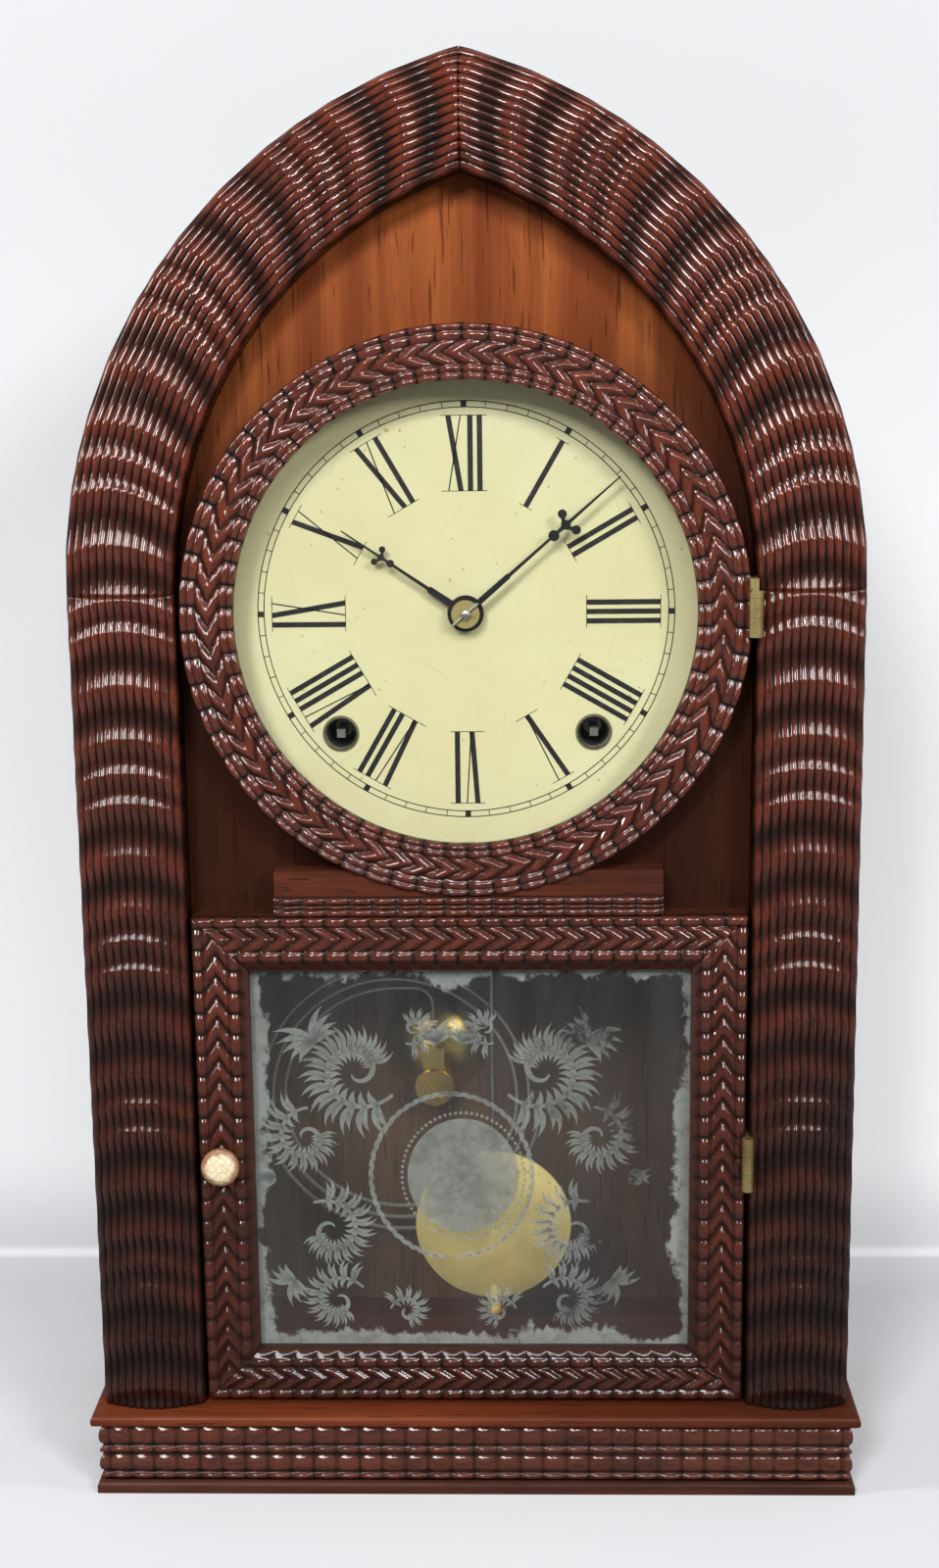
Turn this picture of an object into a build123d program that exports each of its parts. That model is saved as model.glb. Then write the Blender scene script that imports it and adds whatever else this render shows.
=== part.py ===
"""A beehive shelf clock: a pointed-arch case with reeded columns, a glazed door, and a striking
spring movement with a pendulum.

Millimetres. X runs to the right, the front faces -Y, Z is up. The origin lies on the bottom of
the base, in the middle of its width and depth. "Front" values of Y are the smaller ones.
Movement positions are given as (x, z) from the middle of the dial.
"""
from build123d import *
from math import acos, asin, atan2, cos, degrees, hypot, pi, radians, sin, sqrt
import os

os.makedirs("parts", exist_ok=True)

# Case
overall_height = 482.6
overall_depth = 101.6
column_half_span = 130.0
column_width = 35.5
column_thickness = 11.5
column_bulge = 5.0
reed_pitch = 2.6
reed_height = 0.45
reed_count = 13
arch_centre_offset = 44.6
board = 6.0
wall_thickness = 8.0
wall_inset = 1.0

# Base
plinth_height = 4.0
plinth_overhang = 2.0
plinth_nose = 1.5
plinth_setback = 0.7
base_ripple_height = 21.05
base_ripple_thickness = 4.0
base_ripple_setback = 1.6
base_bead_depth = 1.6
ledge_thickness = 4.15
ledge_overhang = 1.35
ledge_reach = 9.0
ledge_nose = 1.7
# Bead heights of the ripple moulding from the bottom up, as shares of its height
base_bead_shares = (0.09, 0.28, 0.11, 0.30)
bead_inset_share = 0.28

# Door
door_setback = 0.3
door_to_panel = 0.3
door_gap = 1.3
door_bottom_gap = 2.1
frame_width = 18.5
moulding_thickness = 3.0
moulding_relief = 0.9
ring_below_spring = 7.9924
ring_to_column = 1.2
ring_width = 17.7
ring_to_frame = 7.1
bridge_half_width = 64.9
bridge_height = 15.5
bridge_strip_height = 7.0
bridge_setback = 1.2
bridge_to_ring = 0.05
glass_thickness = 2.0
glass_lap = 3.4
glass_clearance = 0.3
strip_width = 2.6
strip_thickness = 2.2
brad_count = 8
door_lap = 4.0
# The ring's inner and outer beads, as a share of its width
ring_bead_share = 0.27
# Beads of the bridge strip from the bottom up, as shares of its height
bridge_bead_shares = (0.34, 0.16, 0.34)
# Across a frame rail from its outer edge: bead, chevron band, bead, plain lip
rail_bead_share = 0.17
rail_band_share = 0.47
rail_inner_bead_share = 0.2

# Hinges, knob and latch
upper_hinge_length = 19.0
lower_hinge_length = 18.9
upper_hinge_below_centre = 7.0
lower_hinge_above_base = 80.4
upper_barrel_radius = 2.3
lower_barrel_radius = 1.9
hinge_pin_radius = 0.9
barrel_proud = 0.05
barrel_clearance = 0.6
leaf_thickness = 0.5
leaf_depth = 9.0
knuckle_gap = 0.1
knob_inset = 8.0
knob_above_base = 90.4
knob_radius = 6.75
knob_neck_radius = 3.4
knob_length = 8.8
knob_socket_share = 0.4
# The knob's turned outline from its crown back, as shares of its radius and its length
knob_shares = [(0, 0), (0.6, 0.07), (0.95, 0.24), (0.95, 0.44), (0.5, 0.66)]
spindle_radius = 1.5
latch_length = 13.0
latch_width = 6.0
latch_thickness = 1.5
latch_gap = 0.4

# Dial
dial_setback = 2.3
dial_lap = 2.4
dial_clearance = 2.0
dial_sheet = 0.8
dial_flange_width = 10.0
dial_centre_hole = 3.0
grommet_outer_radius = 6.15
grommet_inner_radius = 5.0
grommet_height = 0.7
grommet_bevel = 1.15 / 3

# Hands
hand_sheet = 0.6
hour_reach_share = 0.648148
hour_boss_share = 0.606122
minute_reach_share = 0.892857
minute_boss_share = 0.571852
hour_collet_radius = 6.0
minute_collet_radius = 3.6
hour_root_width = 1.25
minute_root_width = 1.05
hour_hand_share = 0.7
hand_washer_radius = 4.65
hand_washer_thickness = 0.4
hand_pin_radius = 0.45
hand_pin_length = 11.0
hand_pin_gap = 0.1
hand_square = 2.6
hour_hand_to_dial = 2.6
minute_hand_to_hour_hand = 1.4
minute_hand_angle = 48.9
hour_hand_angle = 304.08
hand_stem_step = 19.0
hand_stem_width = 0.6
hand_neck_width = 0.42
hand_boss_radius = 1.8
hand_ball_radius = 1.5
hand_tip_width = 0.2
hand_root_share = 0.85
# The fork's right-hand edge from the boss up, as (across, along) for the larger hand
fork_points = [(0.5, 1.6), (0.75, 3.8), (2.0, 5.1), (3.65, 5.7), (2.55, 7.0), (1.3, 6.1), (0.55, 6.9)]
fork_ball = (3.45, 6.7)

# Movement plates
plate_thickness = 1.6
front_plate_to_dial = 15.2
plate_spacing = 30.4
plate_half_width = 68.0
plate_bottom = 66.0
plate_top = 58.0
plate_corner = 6.0
pillar_radius = 3.0
block_size = 14.0
running_clearance = 0.06
arbor_shake = 0.2
arbor_side_count = 12
slim_arbor_radius = 0.7
train_arbor_radius = 1.1
long_arbor_radius = 1.5
escape_arbor_radius = 0.9
hammer_arbor_radius = 1.2
stud_radius = 0.9
stud_shoulder = 0.3
# Places as (x, z) from the middle of the dial
pillar_below = (0.0, -60.0)
pillar_beside = (62.0, 14.0)
pillar_above = (50.0, 52.0)
block_below = (58.0, -57.0)
block_above = (58.0, 48.0)

# Trains: tooth counts, modules, directions from wheel to wheel, gaps behind the front plate
winding_x = 42.3
winding_drop = 40.3
main_tooth_count, second_leaf_count, main_module = 60, 8, 1.0
second_tooth_count, centre_leaf_count, second_module = 36, 18, 0.92
centre_tooth_count, fourth_leaf_count, centre_module = 54, 6, 0.72
fourth_tooth_count, escape_leaf_count, fourth_module = 56, 6, 0.6
escape_tooth_count, escape_radius = 42, 12.0
cannon_leaf_count, minute_tooth_count, minute_module = 12, 36, 0.5208
minute_leaf_count, hour_tooth_count, hour_module = 10, 40, 0.5
strike_tooth_count, pin_leaf_count, strike_module = 39, 6, 0.92
pin_tooth_count, warning_leaf_count, pin_module = 72, 6, 0.5
warning_tooth_count, fly_leaf_count, warning_module = 48, 6, 0.45
wheel_thickness = 1.5
main_wheel_thickness = 2.0
pinion_overhang = 0.4
addendum_share = 0.9
dedendum_share = 1.3
pinion_addendum_share = 0.5
pinion_dedendum_share = 1.3
rim_share = 0.82
hub_share = 0.26
spoke_width = 3.0
minute_wheel_angle = 225
strike_second_angle = 100
pin_wheel_angle = 63
warning_angle = 44
fly_angle = 75
main_wheel_gap = 2.4
spring_gap = 2.0
fourth_wheel_gap = 7.4
centre_wheel_gap = 18.4
second_wheel_gap = 24.4
cannon_to_plate = 1.8
hour_wheel_gap = 0.6
motion_thickness = 1.2
hour_pipe_radius = 2.2

# Mainsprings
spring_inner_radius = 5.3
spring_pitch = 6.0
spring_strip = 0.45
spring_width = 16.0
spring_half_turn_count = 4
arbor_radius = 2.5
winding_square = 2.8
spring_collar_radius = 4.6
spring_post_drop = 60.0
winding_shoulder = 1.2
ratchet_tooth_count = 16
ratchet_radius = 9.0
ratchet_depth = 1.3
ratchet_lean = 0.15
ratchet_thickness = 1.2
ratchet_gap = 0.2
click_clearance = 0.15
click_width = 3.0
click_pivot_radius = 14.0
click_nose_angle = 62
click_heel_angle = 70
click_heel_step = 0.18

# Pendulum and escapement
pendulum_x = 7.0
verge_height = 45.0
rod_radius = 0.8
rod_depth = 7.0
bob_radius = 27.5
bob_thickness = 11.0
bob_rim = 1.2
bob_z = 87.0
rating_nut_radius = 4.4
rating_nut_side_count = 12
rating_nut_thickness = 2.6
rating_nut_z = 53.7
suspension_thickness = 0.2
suspension_width = 2.4
suspension_length = 9.0
suspension_gap = 0.3
suspension_lap = 2.0
rod_end_length = 2.0
bob_sleeve_radius = 2.4
pendulum_swing = 3.5
cock_half_width = 2.5
cock_front_lap = 0.3
cock_back_lap = 0.2
cock_arm_rise = 4.5
escape_drop_ratio = 1.45
escape_tooth_depth = 1.7
escape_lean = 0.3
escape_thickness = 1.0
escape_to_plate = 2.0
verge_lap = 0.2
verge_hub_radius = 2.2
verge_hub_front = 1.8
verge_hub_rear = 0.4
verge_web_share = 0.7
pallet_clearance = 0.15
pallet_width = 2.2
pallet_shoulder = 1.6
pallet_undercut = 0.4
pallet_height = 2.0
crutch_width = 1.0
crutch_length = 25.0
crutch_ring = 1.1
crutch_play = 0.25

# Striking work
pin_count = 12
pin_radius = 0.6
pin_side_count = 6
pin_circle = 14.0
pin_length = 3.0
first_pin_angle = 15
fly_radius = 9.5
fly_sheet = 0.5
fly_gap = 12.0
fly_length = 12.0
hammer_at = (-46.0, 34.0)
hammer_rod_radius = 0.9
hammer_head_radius = 5.0
hammer_head_length = 12.0
hammer_rest_gap = 1.0
hammer_rest_angle = 75

# Gong
gong_to_backboard = 13.8
gong_centre = (-29.5, 116.8)
gong_first_radius = 42.5
gong_pitch = 4.6
gong_half_turn_count = 5
gong_wire_radius = 0.7
gong_wire_side_count = 6
gong_bend_radius = 7.0
gong_base_centre = (-15.7, 133.0)
gong_base_radius = 19.5
gong_base_height = 9.0
gong_base_edge = 0.8
gong_post_radius = 4.0
gong_screw_drop = 14.0
gong_screw_radius = 6.8
gong_boss_rim = 0.8
gong_head_share = 0.6
gong_slot_angle = 50
gong_slot_depth = 7.2
gong_slot_width = 1.6
gong_probe_count = 240

# One overrun lets every cut pass right through what it cuts.
overrun = 1.0

# Levels worked out from the sizes above
front_y = -overall_depth / 2
back_y = overall_depth / 2
column_edge_y = front_y + ledge_reach
panel_front_y = column_edge_y + column_thickness
panel_back_y = panel_front_y + board
backboard_y = back_y - board
ripple_top_z = plinth_height + base_ripple_height
base_top_z = ripple_top_z + ledge_thickness
arch_radius = column_half_span + arch_centre_offset
spring_z = overall_height - sqrt(arch_radius**2 - arch_centre_offset**2)
case_half_width = column_half_span - wall_inset
column_inner = column_half_span - column_width
plinth_half_width = column_half_span + plinth_overhang
ledge_half_width = plinth_half_width + ledge_overhang
ring_z = spring_z - ring_below_spring
ring_outer_radius = column_inner - ring_to_column
ring_inner_radius = ring_outer_radius - ring_width

door_front_y = column_edge_y + door_setback
door_back_y = panel_front_y - door_to_panel
glass_front_y = door_front_y + moulding_thickness
glass_back_y = glass_front_y + glass_thickness
door_half_width = column_inner - door_gap
frame_bottom_z = base_top_z + door_bottom_gap
frame_top_z = ring_z - ring_outer_radius - ring_to_frame
door_frame_height = frame_top_z - frame_bottom_z
opening_half_width = door_half_width - frame_width
bridge_top_z = frame_top_z + bridge_height
knob_x = knob_inset - door_half_width
knob_z = base_top_z + knob_above_base
upper_hinge_low = ring_z - upper_hinge_below_centre
upper_hinge_z = (upper_hinge_low, upper_hinge_low + upper_hinge_length)
lower_hinge_low = base_top_z + lower_hinge_above_base
lower_hinge_z = (lower_hinge_low, lower_hinge_low + lower_hinge_length)

dial_y = panel_front_y + dial_setback
dial_radius = ring_inner_radius + dial_lap
hour_hand_length = ring_inner_radius * hour_reach_share
hour_boss_at = hour_hand_length * hour_boss_share
minute_hand_length = ring_inner_radius * minute_reach_share
minute_boss_at = minute_hand_length * minute_boss_share
dial_opening_radius = dial_radius + dial_clearance
dial_flange_radius = dial_radius + dial_flange_width
front_plate_y = dial_y + dial_sheet + front_plate_to_dial
front_plate_back = front_plate_y + plate_thickness
back_plate_y = front_plate_back + plate_spacing
back_plate_back = back_plate_y + plate_thickness
gong_y = backboard_y - gong_to_backboard


def slab(profile, y_front, y_back):
    """A profile drawn as seen from the front, (x, z), made solid between two depths."""
    return extrude(Plane.XZ.offset(-y_back) * profile, amount=y_back - y_front)


def disc(x, z, radius, y_front, y_back):
    """A round piece that lies along Y."""
    return slab(Pos(x, z) * Circle(radius), y_front, y_back)


def annulus(x, z, outer, inner, y_front, y_back):
    """A round piece along Y with a hole through it."""
    return slab(Pos(x, z) * (Circle(outer) - Circle(inner)), y_front, y_back)


def bar(radius):
    """The outline of a small arbor inside the movement: twelve-sided, to keep the faces few."""
    return RegularPolygon(radius, arbor_side_count)


def running_hole(radius):
    """The hole that such an arbor turns in."""
    return RegularPolygon(radius + running_clearance, arbor_side_count, major_radius=False)


def block(x_range, y_range, z_range):
    """A rectangular block between two values on each axis."""
    size = [high - low for low, high in (x_range, y_range, z_range)]
    middle = [(high + low) / 2 for low, high in (x_range, y_range, z_range)]
    return Pos(*middle) * Box(*size)


def turned(x, z, points):
    """A turned piece about an axis along Y at (x, z), from (radius, y) points."""
    profile = Plane.XY * Polygon(*[(r, y) for r, y in points], align=None)
    return Pos(x, 0, z) * revolve(profile, Axis.Y)


def bound(*edges):
    """A face inside the closed run of edges."""
    return make_face(Curve() + list(edges))


def beehive(half_width, bottom):
    """The pointed-arch outline: straight sides and two arcs struck from across the middle."""
    radius = half_width + arch_centre_offset
    turn = degrees(acos(arch_centre_offset / radius))
    right = CenterArc((-arch_centre_offset, spring_z), radius, 0, turn)
    left = CenterArc((arch_centre_offset, spring_z), radius, 180 - turn, turn)
    sides = Polyline((-half_width, spring_z), (-half_width, bottom), (half_width, bottom),
                     (half_width, spring_z))
    return bound(right, left, *sides.edges())


def domed(radius, y_edge, y_crown):
    """An arc from an edge to a crown on the axis, for a turned piece with a round top."""
    rise = y_crown - y_edge
    ball = (radius**2 + rise**2) / (2 * abs(rise))
    half = asin(radius / ball) / 2
    way = 1 if rise > 0 else -1
    middle = (ball * sin(half), y_crown - way * ball * (1 - cos(half)))
    return ThreePointArc((radius, y_edge), middle, (0, y_crown))


def symmetric(points):
    """A polygon from its right-hand side, bottom to top, and that side's mirror image."""
    return Polygon(*points, *[(-x, z) for x, z in reversed(points)], align=None)


def export(name, *pieces):
    """Writes one node, of one solid or of several like or riveted ones."""
    solids = [solid for item in pieces for solid in item.solids()]
    shape = solids[0] if len(solids) == 1 else Compound(solids)
    export_step(shape, f"parts/{name}.step")


# Base: plinth board, core block with ripple moulding on three sides, ledge board

plinth_front_y = front_y + plinth_setback
plinth = block((-plinth_half_width, plinth_half_width), (plinth_front_y, back_y), (0, plinth_height))
plinth_rim = [e for e in plinth.edges().group_by(Axis.Z)[-1] if e.center().Y < back_y - overrun]
export("base_plinth", fillet(plinth_rim, plinth_nose))

ripple_front_y = front_y + base_ripple_setback
ripple_half_width = plinth_half_width - (base_ripple_setback - plinth_setback)
core_front_y = ripple_front_y + base_ripple_thickness
core_half_width = ripple_half_width - base_ripple_thickness
export("base_core", block((-core_half_width, core_half_width), (core_front_y, back_y),
                          (plinth_height, ripple_top_z)))

base_groove_share = (1 - sum(base_bead_shares)) / (len(base_bead_shares) + 1)


def ripple_section(length_from, height_from, back, beads, groove, height, depth):
    """A moulding's cross-section (outwards, upwards): round beads between narrow grooves."""
    at = height_from
    floor = length_from + depth
    edges = []
    corner = (floor, at)
    for share in beads:
        low = at + groove * height
        high = low + share * height
        crown = floor - min(depth, (high - low) / 2)
        inset = bead_inset_share * (high - low)
        edges += Polyline(corner, (floor, low), (crown, low + inset), (crown, high - inset),
                          (floor, high)).edges()
        corner = (floor, high)
        at = high
    top = height_from + height
    edges.append(Line(corner, (floor, top)))
    edges.append(Line((floor, top), (back, top)))
    edges.append(Line((back, top), (back, height_from)))
    edges.append(Line((back, height_from), (floor, height_from)))
    return bound(*edges)


def ripple_lengths():
    """The front length and two returns of the base moulding, mitred at the corners."""
    section = ripple_section(ripple_front_y, plinth_height, core_front_y, base_bead_shares,
                             base_groove_share, base_ripple_height, base_bead_depth)
    front = extrude(Plane.YZ * section, amount=ripple_half_width, both=True)
    wide, narrow = ripple_half_width, core_half_width
    plan = Polygon((-wide, ripple_front_y), (wide, ripple_front_y), (narrow, core_front_y),
                   (-narrow, core_front_y), align=None)
    front = front & extrude(plan, amount=base_top_z)
    side_section = ripple_section(-ripple_half_width, plinth_height, -core_half_width,
                                  base_bead_shares, base_groove_share, base_ripple_height,
                                  base_bead_depth)
    side = extrude(Plane.XZ.offset(-back_y) * side_section, amount=back_y - ripple_front_y)
    plan = Polygon((-wide, ripple_front_y), (-narrow, core_front_y), (-narrow, back_y),
                   (-wide, back_y), align=None)
    side = side & extrude(plan, amount=base_top_z)
    return front, side, mirror(side, Plane.YZ)


export("base_ripple", *ripple_lengths())

ledge = block((-ledge_half_width, ledge_half_width), (front_y, back_y), (ripple_top_z, base_top_z))
ledge_rim = [e for level in (0, -1) for e in ledge.edges().group_by(Axis.Z)[level]
             if e.center().Y < back_y - overrun]
export("base_ledge", fillet(ledge_rim, ledge_nose))

# Case: backboard, bent side walls, front panel

case_outline = beehive(case_half_width, base_top_z)
case_inside = beehive(case_half_width - wall_thickness, base_top_z)
right_half = block((0, case_half_width + overrun), (front_y, back_y), (0, overall_height + overrun))
side_wall = slab(case_outline - case_inside, panel_back_y, backboard_y) & right_half
export("side_wall_right", side_wall)
export("side_wall_left", mirror(side_wall, Plane.YZ))
export("backboard", slab(case_outline, backboard_y, back_y))

panel_half_opening = door_half_width - door_lap
panel_low = frame_bottom_z + door_lap
panel_high = frame_top_z - door_lap
panel_opening = Pos(0, (panel_low + panel_high) / 2) * Rectangle(2 * panel_half_opening,
                                                                panel_high - panel_low)
panel_profile = case_outline - Pos(0, ring_z) * Circle(dial_opening_radius) - panel_opening
export("front_panel", slab(panel_profile, panel_front_y, panel_back_y))


# Columns and arch: one reeded section, extruded upwards and then revolved to the apex

def reeded_section():
    """The right-hand column in plan: a flat back, flat edges and reeds along a shallow bulge."""
    flat = (column_width - reed_count * reed_pitch) / 2
    inner, outer = column_inner + flat, column_half_span - flat
    middle, half = (inner + outer) / 2, (outer - inner) / 2
    radius = (half**2 + column_bulge**2) / (2 * column_bulge)
    centre_y = column_edge_y - column_bulge + radius
    spread = asin(half / radius)

    def on_bulge(share, drop):
        angle = spread * (2 * share - 1)
        return middle + (radius - drop) * sin(angle), centre_y - (radius - drop) * cos(angle)

    points = [(outer, column_edge_y), (column_half_span, column_edge_y), (column_half_span, panel_front_y),
              (column_inner, panel_front_y), (column_inner, column_edge_y), (inner, column_edge_y)]
    for i in range(reed_count):
        points.append(on_bulge(i / reed_count, reed_height))
        points.append(on_bulge((i + 1 / 2) / reed_count, 0))
    points.append(on_bulge(1, reed_height))
    return Polygon(*points, align=None)


section = reeded_section()
hinge_x = column_inner - door_gap / 2
column_right = Pos(0, 0, base_top_z) * extrude(section, amount=spring_z - base_top_z)
column_left = mirror(column_right, Plane.YZ)
export("column_right", column_right)
export("column_left", column_left)

inner_arch_radius = column_inner + arch_centre_offset
arch_turn = degrees(acos(arch_centre_offset / arch_radius))
arch_axis = Axis((-arch_centre_offset, 0, spring_z), (0, -1, 0))
arch_right = revolve(Pos(0, 0, spring_z) * section, arch_axis, arch_turn + overrun) & right_half
export("arch_right", arch_right)
export("arch_left", mirror(arch_right, Plane.YZ))


# Hinge: barrels stand in front of the gap between door and column, leaves lie in the gap

def hinge(z_range, barrel_radius, door_leaf_x):
    """One butt hinge as (case leaf with its pin, door leaf); the door has the middle knuckle."""
    low, high = z_range
    third = (high - low) / 3
    axis_y = column_edge_y - upper_barrel_radius - barrel_proud
    half_gap = knuckle_gap / 2
    spans = ((low, low + third - half_gap), (low + third + half_gap, high - third - half_gap),
             (high - third + half_gap, high))

    def barrel(span):
        return Pos(hinge_x, axis_y, span[0]) * extrude(bar(barrel_radius), amount=span[1] - span[0])

    clear_y = column_edge_y + knuckle_gap * 2
    reach_y = clear_y + leaf_depth
    case_x = (column_inner - leaf_thickness, column_inner)
    door_x = (door_leaf_x, door_leaf_x + leaf_thickness)
    case_leaf = block(case_x, (clear_y, reach_y), z_range)
    case_leaf += Pos(hinge_x, axis_y, low) * extrude(bar(hinge_pin_radius), amount=high - low)
    for span in (spans[0], spans[2]):
        case_leaf += barrel(span) + block(case_x, (axis_y, clear_y), span)
    door_leaf = block(door_x, (clear_y, reach_y), z_range)
    door_leaf += barrel(spans[1]) + block(door_x, (axis_y, clear_y), spans[1])
    door_leaf -= Pos(hinge_x, axis_y, low) * extrude(running_hole(hinge_pin_radius), amount=high - low)
    return case_leaf, door_leaf


ring_flat_x = sqrt(ring_outer_radius**2 - (upper_hinge_z[1] - ring_z)**2)
upper_hinge = hinge(upper_hinge_z, upper_barrel_radius, ring_flat_x)
lower_hinge = hinge(lower_hinge_z, lower_barrel_radius, door_half_width)
arch_room = block((0, column_half_span), (front_y, 0), (spring_z, overall_height))
arch_room -= disc(-arch_centre_offset, spring_z, inner_arch_radius, front_y, 0)
export("hinge_case_leaves", upper_hinge[0] - arch_room, lower_hinge[0])
export("hinge_door_leaves", upper_hinge[1], lower_hinge[1])

# Door ring: a backing ring that holds the glass, and the turned moulding in front of it

glass_radius = ring_inner_radius + glass_lap
ring_rebate_radius = glass_radius + glass_clearance
hinge_flat = block((ring_flat_x, ring_outer_radius + overrun), (front_y, 0),
                   (upper_hinge_z[0] - overrun, upper_hinge_z[1] + overrun))
barrel_room = block((hinge_x - upper_barrel_radius - barrel_clearance, hinge_x), (front_y, door_front_y),
                    (upper_hinge_z[0] - overrun, upper_hinge_z[1] + overrun))
ring_frame = annulus(0, ring_z, ring_outer_radius, ring_rebate_radius, glass_front_y, door_back_y)
export("ring_frame", ring_frame - hinge_flat)


def beaded(marks, rises):
    """Points across a moulding's face: between each pair of marks a band raised on bevelled edges."""
    points = []
    for low, high, rise in zip(marks, marks[1:], rises):
        inset = bead_inset_share * (high - low)
        raised_y = door_front_y - rise
        points += [(low, door_front_y), (low + inset, raised_y), (high - inset, raised_y)]
    return points + [(marks[-1], door_front_y)]


moulding_rises = (moulding_relief, moulding_relief / 2, moulding_relief)


def ring_profile():
    """The ring moulding's section as (radius, y) points."""
    width = ring_outer_radius - ring_inner_radius
    marks = (ring_inner_radius, ring_inner_radius + ring_bead_share * width,
             ring_outer_radius - ring_bead_share * width, ring_outer_radius)
    back = [(ring_outer_radius, glass_front_y), (ring_inner_radius, glass_front_y)]
    return beaded(marks, moulding_rises) + back


ring_moulding = turned(0, ring_z, ring_profile())
export("ring_moulding", ring_moulding - hinge_flat - barrel_room)
export("dial_glass", disc(0, ring_z, glass_radius, glass_front_y, glass_back_y))

# Bridge between ring and lower frame

bridge = block((-bridge_half_width, bridge_half_width), (door_front_y + bridge_setback, door_back_y),
               (frame_top_z, bridge_top_z))
ring_room = disc(0, ring_z, ring_outer_radius + bridge_to_ring, front_y, 0)
export("bridge_block", bridge - ring_room)

bridge_groove_share = (1 - sum(bridge_bead_shares)) / (len(bridge_bead_shares) + 1)
strip_section = ripple_section(door_front_y - moulding_relief, frame_top_z, door_front_y + bridge_setback,
                               bridge_bead_shares, bridge_groove_share, bridge_strip_height,
                               moulding_relief)
bridge_strip = extrude(Plane.YZ * strip_section, amount=bridge_half_width, both=True)
export("bridge_ripple", bridge_strip - ring_room)

# Door lower frame: backing frame, four mitred mouldings, glass and glazing strips

frame_middle_z = (frame_bottom_z + frame_top_z) / 2
glass_half_width = opening_half_width + glass_lap
glass_height = door_frame_height - 2 * frame_width + 2 * glass_lap
frame_outline = Pos(0, frame_middle_z) * Rectangle(2 * door_half_width, door_frame_height)
rebate_outline = Pos(0, frame_middle_z) * Rectangle(2 * (glass_half_width + glass_clearance),
                                                    glass_height + 2 * glass_clearance)
spindle_hole = slab(Pos(knob_x, knob_z) * running_hole(spindle_radius), front_y, 0)
export("door_frame", slab(frame_outline - rebate_outline, glass_front_y, door_back_y) - spindle_hole)


def rail_section():
    """A rail's cross-section as (inwards from its outer edge, y)."""
    shares = (0, rail_bead_share, rail_bead_share + rail_band_share,
              rail_bead_share + rail_band_share + rail_inner_bead_share)
    face = beaded([share * frame_width for share in shares], moulding_rises)
    return Polygon(*face, (frame_width, door_front_y), (frame_width, glass_front_y), (0, glass_front_y),
                   align=None)


def frame_rails():
    """The four rails: a stile and a rail cut at 45 degrees, each with its mirror image."""
    half_height = door_frame_height / 2
    section = rail_section()
    stile = Pos(-door_half_width, 0, frame_bottom_z) * extrude(section, amount=door_frame_height)
    stile_shape = Polygon((-door_half_width, -half_height), (-opening_half_width, frame_width - half_height),
                          (-opening_half_width, half_height - frame_width), (-door_half_width, half_height),
                          align=None)
    stile = stile & slab(Pos(0, frame_middle_z) * stile_shape, front_y, 0)
    plane = Plane(origin=(door_half_width, 0, frame_bottom_z), x_dir=(0, 0, 1), z_dir=(-1, 0, 0))
    rail = extrude(plane * section, amount=2 * door_half_width)
    rail_shape = Polygon((-door_half_width, -half_height), (door_half_width, -half_height),
                         (opening_half_width, frame_width - half_height),
                         (-opening_half_width, frame_width - half_height), align=None)
    rail = rail & slab(Pos(0, frame_middle_z) * rail_shape, front_y, 0)
    across = Plane.XY.offset(frame_middle_z)
    return stile, mirror(stile, Plane.YZ), rail, mirror(rail, across)


lower_barrel_room = block((hinge_x - lower_barrel_radius - barrel_clearance, hinge_x),
                          (front_y, door_front_y), (lower_hinge_z[0] - overrun, lower_hinge_z[1] + overrun))
rails = [rail - spindle_hole - lower_barrel_room for rail in frame_rails()]
export("frame_mouldings", *rails)
tablet_outline = Pos(0, frame_middle_z) * Rectangle(2 * glass_half_width, glass_height)
export("tablet_glass", slab(tablet_outline, glass_front_y, glass_back_y))


def glazing():
    """Slim wooden strips behind the lower glass, and short pieces of the same behind the round one."""
    back = glass_back_y + strip_thickness
    depth = (glass_back_y, back)
    low, high = frame_middle_z - glass_height / 2, frame_middle_z + glass_height / 2
    left = block((-glass_half_width, strip_width - glass_half_width), depth, (low, high))
    inner = (strip_width - glass_half_width, glass_half_width - strip_width)
    bottom = block(inner, depth, (low, low + strip_width))
    top = block(inner, depth, (high - strip_width, high))
    brad = block((glass_radius - strip_width, glass_radius), depth, (-strip_width, strip_width))
    brads = [Pos(0, 0, ring_z) * Rot(0, 360 / brad_count * i, 0) * brad for i in range(brad_count)]
    return left, mirror(left, Plane.YZ), bottom, top, *brads


export("glazing_strips", *glazing())

# Knob and latch

knob_front_y = door_front_y - knob_length
socket_y = knob_front_y + knob_socket_share * knob_length
collar_y = door_front_y - moulding_relief - latch_gap
knob_points = [(across * knob_radius, knob_front_y + along * knob_length) for across, along in knob_shares]
knob_points += [(knob_neck_radius, collar_y), (spindle_radius, collar_y), (spindle_radius, socket_y),
                (0, socket_y)]
export("door_knob", turned(knob_x, knob_z, knob_points))
latch_y = panel_back_y + latch_gap
spindle = slab(Pos(knob_x, knob_z) * bar(spindle_radius), socket_y, latch_y + latch_thickness)
tongue = Pos(knob_x, knob_z + (latch_length - latch_width) / 2) * SlotOverall(latch_length, latch_width,
                                                                             rotation=90)
export("door_latch", spindle + slab(tongue, latch_y, latch_y + latch_thickness))

# Dial: a shallow painted pan, its flange screwed to the back of the panel, and two grommets

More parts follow.
